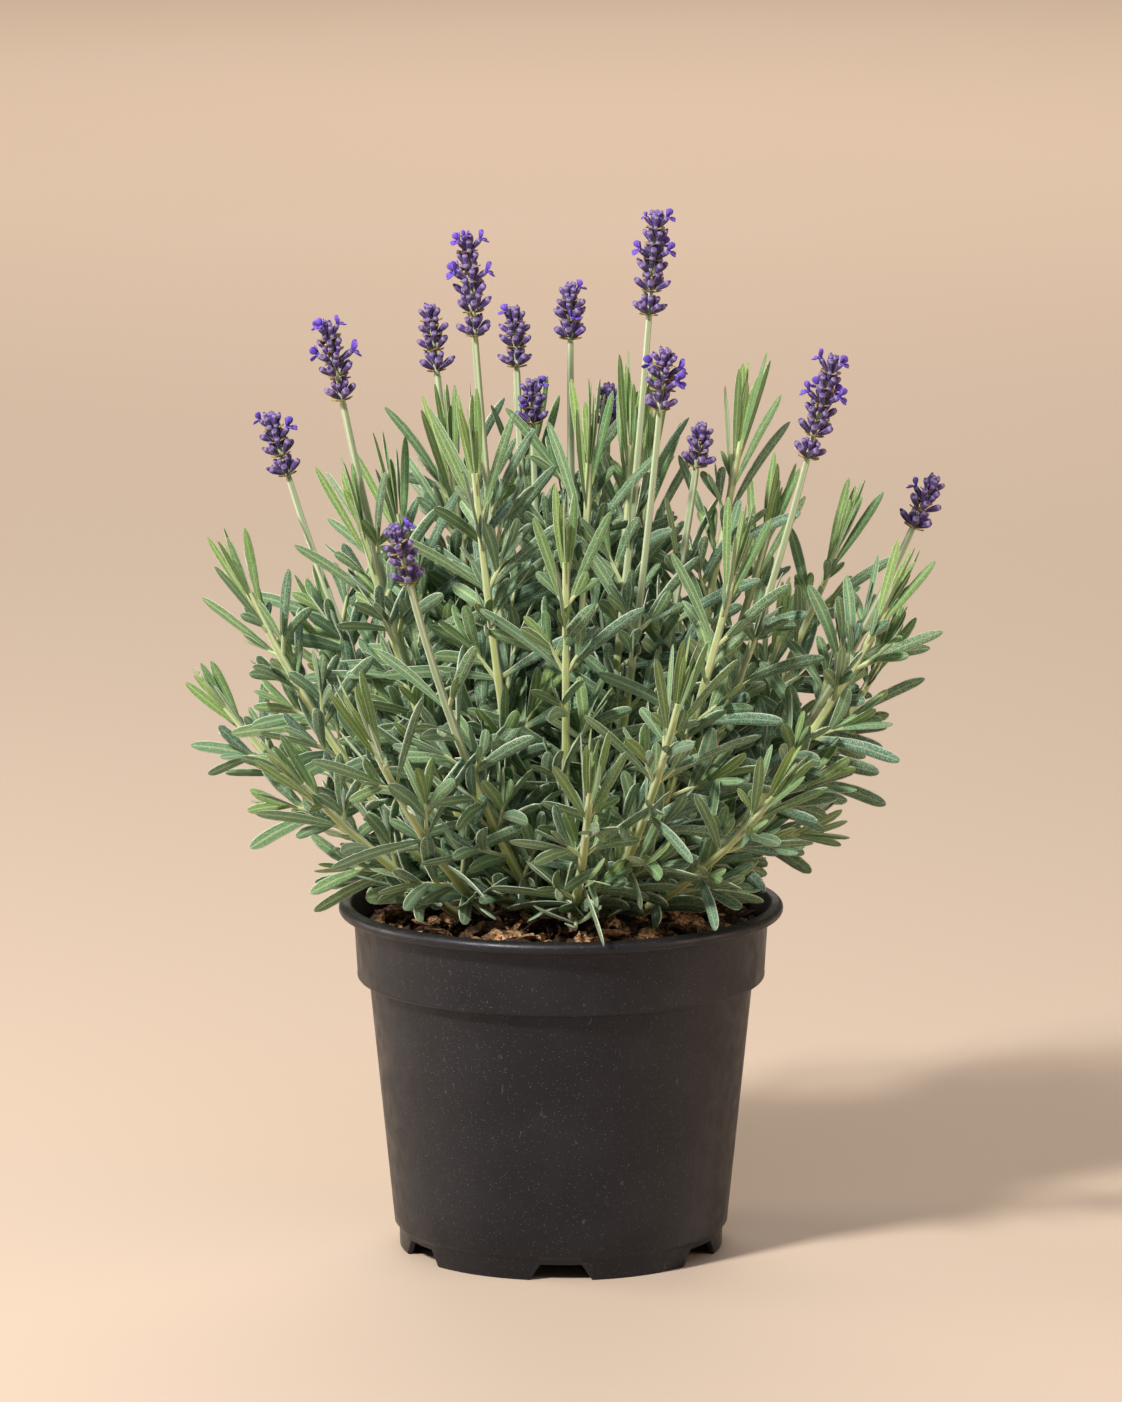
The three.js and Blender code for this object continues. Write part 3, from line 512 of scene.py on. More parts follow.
def make_fill():
    """A turned body that follows the pot's inside, with a rough crumbly top."""
    rng = np.random.default_rng(5)
    inset = POT_WALL + SOIL_GAP
    outer = BAND_RADIUS - inset + 0.6
    below = [
        (20, FLOOR_TOP + 0.4), (BODY_FOOT_RADIUS - inset - 2.4, FLOOR_TOP + 0.4),
        (SHOULDER_RADIUS - inset, SHOULDER_HEIGHT + 2.6), (BAND_RADIUS - inset, BAND_FOOT + 1.6),
        (outer, SOIL_EDGE - 2),
    ]
    top = [(outer * (1 - i / TOP_RINGS), SOIL_CROWN) for i in range(TOP_RINGS)]
    rings = below + top

    def height_of(ring_number, angle, height):
        if ring_number < len(below):
            return height
        return soil_height(rings[ring_number][0]) + rng.normal(0, SOIL_BUMPS)

    columns = list(np.linspace(0, 2 * math.pi, FILL_COLUMNS + 1)[:-1])
    return turned_mesh("growing_medium_fill", rings, columns, height_of)


fill = make_fill()
print("fill:", len(fill.data.polygons), "faces")

# %% Bark chip shapes
CHIP_SHAPES = 7
CHIP_RINGS = 7

# Corners of a chip's section: side, and height of the upper or under face.
CHIP_SECTION = ((-1, 0), (-0.45, 1), (0.4, 0.85), (1, 0.1), (0.3, -0.7), (-0.5, -0.8))


def chip_shape(name, seed):
    """A split flake of bark one unit long: flat, thicker on one side, ragged at its ends."""
    rng = np.random.default_rng(seed)
    width, thick = rng.uniform(0.32, 0.5), rng.uniform(0.15, 0.24)
    curl = rng.uniform(0.1, 0.38)
    points = []
    for i in range(CHIP_RINGS):
        t = i / (CHIP_RINGS - 1)
        taper = 0.55 + 0.45 * math.sin(math.pi * (0.12 + 0.76 * t))
        bow = curl * math.sin(math.pi * t)
        for side, top in CHIP_SECTION:
            points.append((
                t - 0.5 + rng.normal(0, 0.05),
                side * width * taper / 2 + rng.normal(0, 0.025),
                top * thick * taper / 2 + bow + rng.normal(0, 0.02),
            ))
    corners = len(CHIP_SECTION)
    faces = []
    for i in range(CHIP_RINGS - 1):
        for k in range(corners):
            a, b = i * corners + k, i * corners + (k + 1) % corners
            faces.append((a, a + corners, b + corners, b))
    faces += [tuple(range(corners)), tuple(range(len(points) - 1, len(points) - 1 - corners, -1))]
    made = mesh_object(name, points, faces)
    shape = bmesh.new()
    shape.from_mesh(made.data)
    bmesh.ops.recalc_face_normals(shape, faces=shape.faces)
    shape.to_mesh(made.data)
    shape.free()
    return made


chips = bpy.data.collections.new("bark_chips")
bpy.context.scene.collection.children.link(chips)
for seed in range(CHIP_SHAPES):
    chip = chip_shape(f"bark_chip_{seed}", seed)
    bpy.context.scene.collection.objects.unlink(chip)
    chips.objects.link(chip)
print(CHIP_SHAPES, "chip shapes of", len(chip.data.polygons), "faces")

# %% [markdown]
# ### Strewing the chips
# The tree below takes the fill, keeps the faces that look up, scatters points over them
# and puts a chip on each. A per-chip random number is stored as an attribute, so that the
# bark material can give each chip its own brown. Inputs carry the real sizes.

# %% Geometry nodes: bark strewn over a surface
def add_input(tree, name, kind, value=None):
    """A named input of a geometry tree, with its value."""
    socket = tree.interface.new_socket(name=name, in_out="INPUT", socket_type=f"NodeSocket{kind}")
    if value is not None:
        socket.default_value = value


def new_tree(name, inputs):
    """A geometry tree with a Geometry input and output and further named inputs."""
    tree = bpy.data.node_groups.new(name, "GeometryNodeTree")
    add_input(tree, "Geometry", "Geometry")
    for label, (kind, value) in inputs.items():
        add_input(tree, label, kind, value)
    tree.interface.new_socket(name="Geometry", in_out="OUTPUT", socket_type="NodeSocketGeometry")
    return tree, node(tree, "NodeGroupInput")


def use_tree(made, tree, **values):
    """Puts a tree on an object as a modifier; values are set by each socket's identifier."""
    modifier = made.modifiers.new(tree.name, "NODES")
    modifier.node_group = tree
    for item in tree.interface.items_tree:
        label = item.name.replace(" ", "_").lower()
        if item.in_out == "INPUT" and label in values:
            modifier[item.identifier] = values[label]
    return baked(made)

# %% Where a chip may lie, how it is turned and how long it is
def free_top(tree, given):
    """Which faces may bear a chip: those that look up, with room before the pot's wall."""
    up = node(tree, "ShaderNodeSeparateXYZ", {0: node(tree, "GeometryNodeInputNormal")})
    place = node(tree, "ShaderNodeSeparateXYZ", {0: node(tree, "GeometryNodeInputPosition")})
    looks_up = node(tree, "FunctionNodeCompare", {0: up.outputs["Z"], 1: 0.55},
                    data_type="FLOAT", operation="GREATER_THAN")
    flat = node(tree, "ShaderNodeCombineXYZ", {"X": place.outputs["X"], "Y": place.outputs["Y"]})
    from_axis = node(tree, "ShaderNodeVectorMath", {0: flat}, operation="LENGTH")
    to_wall = node(tree, "ShaderNodeMath", {
        0: given.outputs["Free radius"], 1: from_axis.outputs["Value"],
    }, operation="SUBTRACT")
    inside = node(tree, "FunctionNodeCompare", {0: to_wall, 1: given.outputs["Shortest"]},
                  data_type="FLOAT", operation="GREATER_THAN")
    both = node(tree, "FunctionNodeBooleanMath", {0: looks_up, 1: inside}, operation="AND")
    return both, to_wall


def chip_turn(tree, given):
    """A random turn round the upright and a random tilt."""
    tilt = given.outputs["Most tilt"]
    least = node(tree, "ShaderNodeMath", {0: tilt, 1: -1.0}, operation="MULTIPLY")
    return node(tree, "FunctionNodeRandomValue", {
        0: node(tree, "ShaderNodeCombineXYZ", {"X": least, "Y": least, "Z": -math.pi}),
        1: node(tree, "ShaderNodeCombineXYZ", {"X": tilt, "Y": tilt, "Z": math.pi}),
        "Seed": 11,
    }, data_type="FLOAT_VECTOR")


def chip_size(tree, given, to_wall):
    """Mostly small chips with a few large ones, none longer than its place has room for."""
    bias = node(tree, "FunctionNodeRandomValue", {2: 0.0, 3: 1.0, "Seed": 12}, data_type="FLOAT")
    small = node(tree, "ShaderNodeMath", {0: bias.outputs[1], 1: 1.7}, operation="POWER")
    size = node(tree, "ShaderNodeMapRange", {
        "Value": small, "To Min": given.outputs["Shortest"], "To Max": given.outputs["Longest"],
    })
    room = node(tree, "ShaderNodeMath", {0: to_wall, 1: 1.9}, operation="MULTIPLY")
    return node(tree, "ShaderNodeMath", {0: size, 1: room}, operation="MINIMUM")

# %% The whole strewing tree
def strewn_bark_tree():
    tree, given = new_tree("strewn_bark", {
        "Chips per square metre": ("Float", 40000.0), "Shortest": ("Float", 5 * MM),
        "Longest": ("Float", 21 * MM), "Most tilt": ("Float", 0.85), "Seed": ("Int", 3),
        "Free radius": ("Float", 84 * MM),
        "Chips": ("Collection", None), "Bark": ("Material", None),
    })
    may_bear, to_wall = free_top(tree, given)
    scattered = node(tree, "GeometryNodeDistributePointsOnFaces", {
        "Mesh": given.outputs["Geometry"], "Selection": may_bear,
        "Density": given.outputs["Chips per square metre"], "Seed": given.outputs["Seed"],
    }, distribute_method="RANDOM")
    strewn = node(tree, "GeometryNodeInstanceOnPoints", {
        "Points": scattered.outputs["Points"], "Rotation": chip_turn(tree, given),
        "Scale": chip_size(tree, given, to_wall),
        "Instance": node(tree, "GeometryNodeCollectionInfo", {
            "Collection": given.outputs["Chips"], "Separate Children": True,
            "Reset Children": True,
        }), "Pick Instance": True,
    })
    shade = node(tree, "FunctionNodeRandomValue", {2: 0.0, 3: 1.0, "Seed": 13}, data_type="FLOAT")
    marked = node(tree, "GeometryNodeStoreNamedAttribute", {
        "Geometry": strewn, "Name": "chip_shade", "Value": shade.outputs[1],
    }, data_type="FLOAT", domain="INSTANCE")
    loose = node(tree, "GeometryNodeRealizeInstances", {"Geometry": marked})
    joined = node(tree, "GeometryNodeJoinGeometry", {"Geometry": loose})
    tree.links.new(given.outputs["Geometry"], joined.inputs["Geometry"])
    dressed = node(tree, "GeometryNodeSetMaterial", {
        "Geometry": joined, "Material": given.outputs["Bark"],
    })
    node(tree, "NodeGroupOutput", {"Geometry": dressed})
    return tree

# %% [markdown]
# ### Composted bark
# Damp bark is a dark, nearly black brown that drinks up light, so it is rough and hardly
# shines. Fresh breaks are tan and run in fibres along the chip. The material mixes dark
# and tan browns by each chip's own number and by a fine fibre noise, and bumps the surface.

# %% Bark material
def carried(tree, name, start, full, both_sides=False):
    """How far a number that the mesh carries has come from start to full, with soft ends.
    With both_sides its sign doesn't count."""
    value = node(tree, "ShaderNodeAttribute", attribute_name=name).outputs["Fac"]
    if both_sides:
        value = node(tree, "ShaderNodeMath", {0: value}, operation="ABSOLUTE")
    return node(tree, "ShaderNodeMapRange", {
        "Value": value, "From Min": start, "From Max": full,
    }, interpolation_type="SMOOTHSTEP")


def make_bark():
    material, tree, shader = new_material("composted_bark", {"Roughness": 0.9})
    fibre = patches(tree, 1.6, 5.0, 0.35, 0.68)
    dark = laid_over(tree, "#1c120d", "#4a3122", fibre)
    tan = laid_over(tree, "#553623", "#cba277", fibre)
    brown = laid_over(tree, dark, tan, carried(tree, "chip_shade", 0.3, 0.9))
    tree.links.new(brown, shader.inputs["Base Color"])
    roughened(tree, shader, 1.1, 6.0, 0.7, 0.6)
    return material


growing_medium = use_tree(fill, strewn_bark_tree(), chips=chips, bark=make_bark())
growing_medium.name = "growing_medium_bark"
for chip in list(chips.objects):
    bpy.data.objects.remove(chip)
bpy.data.collections.remove(chips)
print("growing medium:", len(growing_medium.data.polygons), "faces, top at",
      round(max(v.co.z for v in growing_medium.data.vertices) / MM, 1), "mm")
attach(growing_medium, "root")
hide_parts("growing_medium")

# %% [markdown]
# ## How the plant is laid out
# Lavender grows many woody stems from one crown. Each shoot leans out from its foot, then
# turns up towards the light, and bears pairs of leaves, each pair a quarter turn from the
# last. The measured model was grown by that rule, from a short list of shoots: where each
# foot stands and where each tip or flower head is. The same list and rule are repeated
# here in millimetres, so that every finished leaf lies where its plain solid lies.

# %% The shoots: foot on the soil, tip of the stem above it
SHOOTS = [
    {"foot": (-33, -8), "tip": (-131, -28, 287)},
    {"foot": (-38, 3), "tip": (-143, 4, 233)},
    {"foot": (-28, 15), "tip": (-100, 37, 261)},
    {"foot": (-21, -10), "tip": (-83, -34, 314)},
    {"foot": (-18, 2), "tip": (-70, 4, 316)},
    {"foot": (-9, -11), "tip": (-36, -44, 340)},
    {"foot": (2, -14), "tip": (2, -66, 306)},
    {"foot": (4, -1), "tip": (12, 2, 338)},
    {"foot": (21, 4), "tip": (76, 12, 346)},
    {"foot": (20, -9), "tip": (72, -48, 298)},
    {"foot": (29, 15), "tip": (119, 44, 296)},
    {"foot": (34, -9), "tip": (138, -14, 279)},
    {"foot": (37, 7), "tip": (138, 28, 252), "sweep": 0.16},
    {"foot": (13, -20), "tip": (48, -116, 255), "vigour": 0.92},
    {"foot": (4, -25), "tip": (12, -108, 217), "vigour": 0.84},
    {"foot": (-26, -18), "tip": (-78, -102, 237), "vigour": 0.88},
    {"foot": (25, -19), "tip": (88, -92, 212), "sweep": 0.08, "vigour": 0.76},
    {"foot": (-37, -15), "tip": (-108, -64, 212), "sweep": 0.06, "vigour": 0.72},
    {"foot": (-12, 6), "tip": (-47, 20, 335), "pairs": 6},
    {"foot": (9, 5), "tip": (30, 15, 344), "pairs": 6},
    {"foot": (23, 10), "tip": (89, 30, 305), "pairs": 6},
]

# The far side: rows of shoots at these bearings, a low outer one and a taller inner one.
BACK_ROWS = [
    {"bearings": (36, 62, 89, 116, 146), "reach": 123, "height": 240, "foot_reach": 37,
     "sweep": 0.15},
    {"bearings": (52, 78, 104, 131), "reach": 66, "height": 318, "foot_reach": 26,
     "sweep": 0.1},
]
BACK_REACH_JITTER = 6
BACK_HEIGHT_JITTER = 18

# Flowering stems: foot, base of the flower head, bare length below the head, length of
# the head and its number of whorls.
SPIKES = [
    {"foot": (-31, 6), "head": (-116, 25, 328), "bare": 44, "length": 31, "whorls": 4},
    {"foot": (-22, -1), "head": (-91, -35, 368), "bare": 58, "length": 37, "whorls": 5},
    {"foot": (-15, 13), "head": (-53, 45, 370), "bare": 46, "length": 32, "whorls": 4},
    {"foot": (-9, -2), "head": (-36, -20, 393), "bare": 64, "length": 46, "whorls": 6},
    {"foot": (-5, 17), "head": (-19, 60, 370), "bare": 46, "length": 29, "whorls": 4},
    {"foot": (-5, 13), "head": (-12, 40, 348), "bare": 44, "length": 22, "whorls": 3},
    {"foot": (4, 10), "head": (4, 35, 385), "bare": 54, "length": 27, "whorls": 4},
    {"foot": (11, -3), "head": (37, -5, 400), "bare": 86, "length": 47, "whorls": 6},
    {"foot": (12, -11), "head": (41, -45, 365), "bare": 84, "length": 29, "whorls": 4},
    {"foot": (17, 0), "head": (57, 0, 335), "bare": 42, "length": 22, "whorls": 3},
    {"foot": (28, -1), "head": (103, -25, 342), "bare": 76, "length": 48, "whorls": 6},
    {"foot": (40, -2), "head": (149, 14, 307), "bare": 46, "length": 27, "whorls": 4},
    {"foot": (-5, -21), "head": (-62, -94, 300), "bare": 54, "length": 30, "whorls": 4},
    {"foot": (9, 21), "head": (20, 50, 345), "bare": 40, "length": 22, "whorls": 3},
]

# %% Vectors and a repeatable draw
UP = np.array((0.0, 0.0, 1.0))


def seeded_draws(seed):
    """The small linear generator of the measured model, as a function of no inputs."""
    state = [seed]

    def draw():
        state[0] = (state[0] * 1664525 + 1013904223) % 4294967296
        return state[0] / 4294967296
    return draw


def jitter(draw, amount):
    return (2 * draw() - 1) * amount


def unit(vector):
    return vector / np.linalg.norm(vector)


def leaning(first, second, angle):
    """The direction at an angle from first towards second, which are at right angles."""
    return first * math.cos(angle) + second * math.sin(angle)


def turned(vector, axis, angle):
    """The vector turned about a unit axis."""
    along = axis * np.dot(axis, vector) * (1 - math.cos(angle))
    return vector * math.cos(angle) + np.cross(axis, vector) * math.sin(angle) + along

# %% The stems
STEM_SIDE_AT_FOOT = 4.0
STEM_SIDE_AT_TIP = 2.6
STEM_SWEEP = 0.1
SPEAR = 15


class Stem:
    """One bend in one upright plane: out from the foot, then up to the tip or the head."""

    def __init__(self, row, name):
        self.row = row
        self.name = name
        self.bare = row.get("bare")
        self.foot = np.array((*row["foot"], float(SOIL_CROWN)))
        self.end = np.array(row.get("head") or row["tip"], dtype=float)
        sweep = row.get("sweep", STEM_SWEEP)
        run = self.end - self.foot
        self.control = self.foot + run * np.array((0.5 + sweep, 0.5 + sweep, 0.5 - sweep))
        self.across = unit(np.cross(UP, run))
        steps = [self.point(i / 200) for i in range(201)]
        self.length = sum(np.linalg.norm(b - a) for a, b in zip(steps, steps[1:]))
        self.leaves = []

    def point(self, t):
        return (1 - t) ** 2 * self.foot + 2 * (1 - t) * t * self.control + t * t * self.end

    def frame(self, from_end):
        """Centre, direction, two side directions and side length, from_end mm below the end."""
        share = 1 - from_end / self.length
        low, high = max(0, share - 0.0001), min(1, share + 0.0001)
        along = unit(self.point(high) - self.point(low))
        side = STEM_SIDE_AT_FOOT + (STEM_SIDE_AT_TIP - STEM_SIDE_AT_FOOT) * min(1, share)
        first = turned(self.across, along, self.turn)
        second = turned(np.cross(along, self.across), along, self.turn)
        return self.point(share), along, first, second, side

# %% Lay all the stems
def spread_feet(rows, spacing=9):
    """Pushes the feet apart until each has room in the crown."""
    for _ in range(60):
        for i, a in enumerate(rows):
            for b in rows[i + 1:]:
                step = np.subtract(a["foot"], b["foot"])
                apart = np.hypot(*step)
                push = (spacing - apart) / (2 * apart)
                if push > 0:
                    a["foot"] = tuple(np.add(a["foot"], step * push))
                    b["foot"] = tuple(np.subtract(b["foot"], step * push))


def lay_all_stems():
    draw = seeded_draws(2024)
    rows = [dict(row) for row in SPIKES + SHOOTS]
    for row in BACK_ROWS:
        for bearing in row["bearings"]:
            reach = row["reach"] + jitter(draw, BACK_REACH_JITTER)
            height = row["height"] + jitter(draw, BACK_HEIGHT_JITTER)
            x, y = math.cos(math.radians(bearing)), math.sin(math.radians(bearing))
            rows.append({"foot": (row["foot_reach"] * x, row["foot_reach"] * y),
                         "tip": (reach * x, reach * y, height), "sweep": row["sweep"], "pairs": 6})
    spread_feet(rows)
    stems = []
    for i, row in enumerate(rows):
        if "head" in row:
            name = f"flowering_stem_{i + 1:02d}"
        else:
            name = f"leafy_shoot_{i - len(SPIKES) + 1:02d}"
        stems.append(Stem(row, name))
    for stem in stems:
        top = stem.point(1 - (stem.bare or 0) / stem.length)
        by_place = 0.68 + 0.0026 * (top[2] - 210) - 0.0007 * math.hypot(top[0], top[1])
        stem.vigour = stem.row.get("vigour", by_place)
        stem.turn = math.radians(jitter(draw, 45))
    return stems


stems = lay_all_stems()
print(len(stems), "stems,", round(min(s.length for s in stems)), "to",
      round(max(s.length for s in stems)), "mm long")

# %% [markdown]
# ### Leaf pairs
# A pair's rank counts down from the tip. Young pairs are short, narrow, upright and close
# together; the middle ones are the longest; the lowest are shorter, broader and arch over.
# Leaves give way to each other: small balls mark the room that is taken, the outermost
# pairs grow first, and a leaf that finds its place taken tries a few others.

# %% Habit of a leaf by its rank
LEAF_LENGTH = 50
LEAF_OLD_FROM = 5
LONG_LEAF_STEPS = (0.36, 0.36, 0.28)
SHORT_LEAF_STEPS = (0.55, 0.45)


def pair_places(stem):
    """Rank and distance below the tip of each leaf pair of the measured model."""
    most = 3 if stem.bare else stem.row.get("pairs", 7)
    from_end = stem.bare or 2.5
    rank = 3 if stem.bare else 0
    places = []
    while from_end < stem.length - 13 and len(places) < most:
        places.append((rank, from_end))
        from_end += min(18.5, 5 + 3.5 * rank)
        rank += 1
    return places


def leaf_habit(rank):
    grown = min(1, 0.82 + 0.07 * rank)
    faded = 1 - 0.06 * max(0, rank - LEAF_OLD_FROM)
    length = LEAF_LENGTH * grown * faded
    width = min(6.2, 3.5 + 0.38 * rank)
    lift = math.radians(min(64, 7 + (3.5 + 1.5 * rank) * rank))
    arch = math.radians(min(15, 2 * (rank - 1)))
    return length, width, lift, arch


def leaf_spine(root, along, outward, length, lift, arch, steps):
    """The middle line of a leaf, in straight steps that turn away from the stem."""
    spine = [root]
    directions = []
    for i, share in enumerate(steps):
        angle = lift + arch * i
        directions.append(leaning(along, outward, angle))
        spine.append(spine[-1] + directions[-1] * length * share)
    return spine, directions

# %% Room for each leaf
BALL_SPACING = 3.8
MOST_BALLS = 20000
ball_places = np.zeros((MOST_BALLS, 3))
ball_radii = np.zeros(MOST_BALLS)
ball_owners = np.zeros(MOST_BALLS, dtype=int)
ball_count = 0


def points_along(start, end):
    count = max(1, math.ceil(np.linalg.norm(end - start) / BALL_SPACING))
    return [start + (end - start) * i / count for i in range(1, count + 1)]


def add_balls(start, end, radius, owner):
    global ball_count
    for place in points_along(start, end):
        ball_places[ball_count] = place
        ball_radii[ball_count] = radius
        ball_owners[ball_count] = owner
        ball_count += 1


def is_clear(point, radius, owner):
    off = ball_places[:ball_count] - point
    reach = ball_radii[:ball_count] + radius
    near = np.einsum("ij,ij->i", off, off) < reach * reach
    return not np.any(near & (ball_owners[:ball_count] != owner))


def is_above_pot(point):
    """Leaves stay above the soil, the chips and the pot's lip."""
    from_axis = math.hypot(point[0], point[1])
    if from_axis > LIP_RADIUS + 3:
        return True
    return point[2] > (POT_HEIGHT + 2.5 if from_axis > NECK_RADIUS - 5 else POT_HEIGHT - 2.5)


def leaf_room(leaf):
    """Radius of the balls that a leaf takes up."""
    return leaf["width"] * 0.45 + 0.3


def leaf_fits(leaf, owner):
    for start, end in zip(leaf["spine"], leaf["spine"][1:]):
        for point in points_along(start, end):
            if not is_above_pot(point) or not is_clear(point, leaf_room(leaf), owner):
                return False
    return True

# %% Grow the leaves of the measured model
# What a leaf tries in turn: further turn and lift in degrees, and share of its length.
WAYS = [
    (0, 0, 1), (13, 0, 1), (-13, 0, 1), (0, 11, 1), (0, -9, 1), (22, 6, 1), (-22, 6, 1),
    (0, 0, 0.78), (15, 6, 0.78), (-15, 6, 0.78), (24, -6, 0.78), (-24, -6, 0.78), (0, 14, 0.62),
]


def place_leaf(stem, owner, rank, from_end, face, draw):
    length, width, lift, arch = leaf_habit(rank)
    centre, along, first, second, side = stem.frame(from_end)
    normal = leaning(first, second, face * math.pi / 2)
    length *= (1 + jitter(draw, 0.09)) * stem.vigour
    turn = jitter(draw, 7)
    lift += math.radians(jitter(draw, 5))
    root = centre + normal * side / 2
    steps = LONG_LEAF_STEPS if 2 < rank < LEAF_OLD_FROM else SHORT_LEAF_STEPS
    for extra_turn, extra_lift, shorter in WAYS:
        outward = turned(normal, along, math.radians(turn + extra_turn))
        angle = max(math.radians(5), lift + math.radians(extra_lift))
        spine, directions = leaf_spine(root, along, outward, length * shorter, angle, arch, steps)
        leaf = {"spine": spine, "directions": directions, "across": np.cross(along, outward),
                "width": width * (1.35 - 0.4 * stem.vigour), "rank": rank}
        if leaf_fits(leaf, owner):
            return leaf
    return None


def keep_room_for_stems():
    for owner, stem in enumerate(stems):
        steps = math.ceil(stem.length / 8)
        for i in range(steps):
            add_balls(stem.point(i / steps), stem.point((i + 1) / steps), 2.3, owner)
        centre, along, *_ = stem.frame(0)
        reach, radius = (stem.row["length"], 9) if stem.bare else (SPEAR, 1.5)
        add_balls(centre, centre + along * reach, radius, owner)


def grow_leaves():
    draw = seeded_draws(31)
    places = [pair_places(stem) for stem in stems]
    for order in range(max(len(p) for p in places)):
        for owner, stem in enumerate(stems):
            if order >= len(places[owner]):
                continue
            rank, from_end = places[owner][order]
            for face in (order % 2, order % 2 + 2):
                leaf = place_leaf(stem, owner, rank, from_end, face, draw)
                if leaf:
                    stem.leaves.append(leaf)
                    for start, end in zip(leaf["spine"], leaf["spine"][1:]):
                        add_balls(start, end, leaf_room(leaf), owner)


keep_room_for_stems()
grow_leaves()
print(sum(len(stem.leaves) for stem in stems), "leaves placed")

# %% [markdown]
# ### The growth between the leaves
# A real bush is denser than its outline: small shoots sprout in the axils of the pairs,
# the stems go on bearing smaller leaves down to the soil, and each tip holds a few leaves
# that are still folded together. This growth only fills the bush, so it is made here and
# not in the measured model. It stays inside the model's box and above the pot.

# %% Leaves as smooth middle lines
MAIN_LEAF_SHARES = (0, 0.1, 0.24, 0.42, 0.6, 0.76, 0.88, 0.95, 0.985, 1)
SMALL_LEAF_SHARES = (0, 0.2, 0.5, 0.76, 0.91, 0.975, 1)
BOX_LOW = np.array(CAD_BOX[0]) / MM + 1
BOX_HIGH = np.array(CAD_BOX[1]) / MM - 1
BOX_SLACK = 0.5
STEM_LINE, LEAF_LINE, SMALL_LEAF_LINE = range(3)


def smooth_line(spine, directions, shares):
    """Points and directions on a smooth curve through the steps of a spine."""
    steps = [np.linalg.norm(b - a) for a, b in zip(spine, spine[1:])]
    ends = np.cumsum([0, *steps])
    tangents = [directions[0]]
    tangents += [unit(a + b) for a, b in zip(directions, directions[1:])]
    tangents.append(directions[-1])
    points, ways = [], []
    for share in shares:
        run = share * ends[-1]
        i = min(len(steps) - 1, int(np.searchsorted(ends, run, side="right")) - 1)
        u = (run - ends[i]) / steps[i]
        a, b = spine[i], spine[i + 1]
        m, n = tangents[i] * steps[i], tangents[i + 1] * steps[i]
        points.append((2 * u ** 3 - 3 * u ** 2 + 1) * a + (u ** 3 - 2 * u ** 2 + u) * m
                      + (3 * u ** 2 - 2 * u ** 3) * b + (u ** 3 - u ** 2) * n)
        ways.append(unit((6 * u ** 2 - 6 * u) * (a - b) + (3 * u ** 2 - 4 * u + 1) * m
                         + (3 * u ** 2 - 2 * u) * n))
    return np.array(points), np.array(ways)


def leaf_outline(share, bluntness):
    """Half width of a leaf along its length: a narrow foot, a long belly, a soft tip."""
    belly = min(1, share / (0.55 + 0.12 * bluntness))
    foot = 0.36 + 0.64 * math.sin(math.pi / 2 * belly) ** 1.2
    start = 0.64 + 0.12 * bluntness
    past = max(0, (share - start) / (1 - start))
    return foot * max(0.03, 1 - past ** (2.2 + 0.5 * bluntness)) ** 0.52


def leaf_chain(leaf, rng, small=False):
    """The line that a finished leaf is drawn along, with what each point carries."""
    shares = SMALL_LEAF_SHARES if small else MAIN_LEAF_SHARES
    points, ways = smooth_line(leaf["spine"], leaf["directions"], shares)
    age = min(1, leaf["rank"] / 6)
    bow = rng.normal(0, 0.012) * np.linalg.norm(points[-1] - points[0])
    swing = np.sin(np.pi * np.array(shares))[:, None] * leaf["across"] * bow
    half = [leaf["width"] / 2 * leaf_outline(s, age) for s in shares]
    roll = rng.normal(0, 0.14)
    up = [turned(unit(np.cross(w, leaf["across"])), w, roll) for w in ways]
    points = np.clip(points + swing, BOX_LOW - BOX_SLACK, BOX_HIGH + BOX_SLACK)
    return {"kind": SMALL_LEAF_LINE if small else LEAF_LINE, "points": points, "half": half,
            "up": up, "along": shares, "age": age, "tint": rng.uniform()}


def facing_light(leaf, away):
    """The leaf twisted on its foot until its upper side looks up and out of the bush."""
    light = unit(away * 0.9 + UP * 0.55)
    leaf["across"] = unit(np.cross(light, leaf["directions"][-1]))
    return leaf


def stays_in_place(leaf):
    """Whether a filling leaf keeps inside the model's box and above the pot."""
    ends = leaf["spine"][1:]
    return all(np.all(p > BOX_LOW) and np.all(p < BOX_HIGH) and is_above_pot(p - UP) for p in ends)

# %% Small shoots in the axils
def little_leaf(root, along, outward, length, width, lift, rank, arch=7):
    """A leaf of two steps, the second one arched by so many degrees."""
    spine, directions = leaf_spine(root, along, outward, length, lift, math.radians(arch),
                                   (0.5, 0.5))
    return {"spine": spine, "directions": directions, "across": np.cross(along, outward),
            "width": width, "rank": rank}


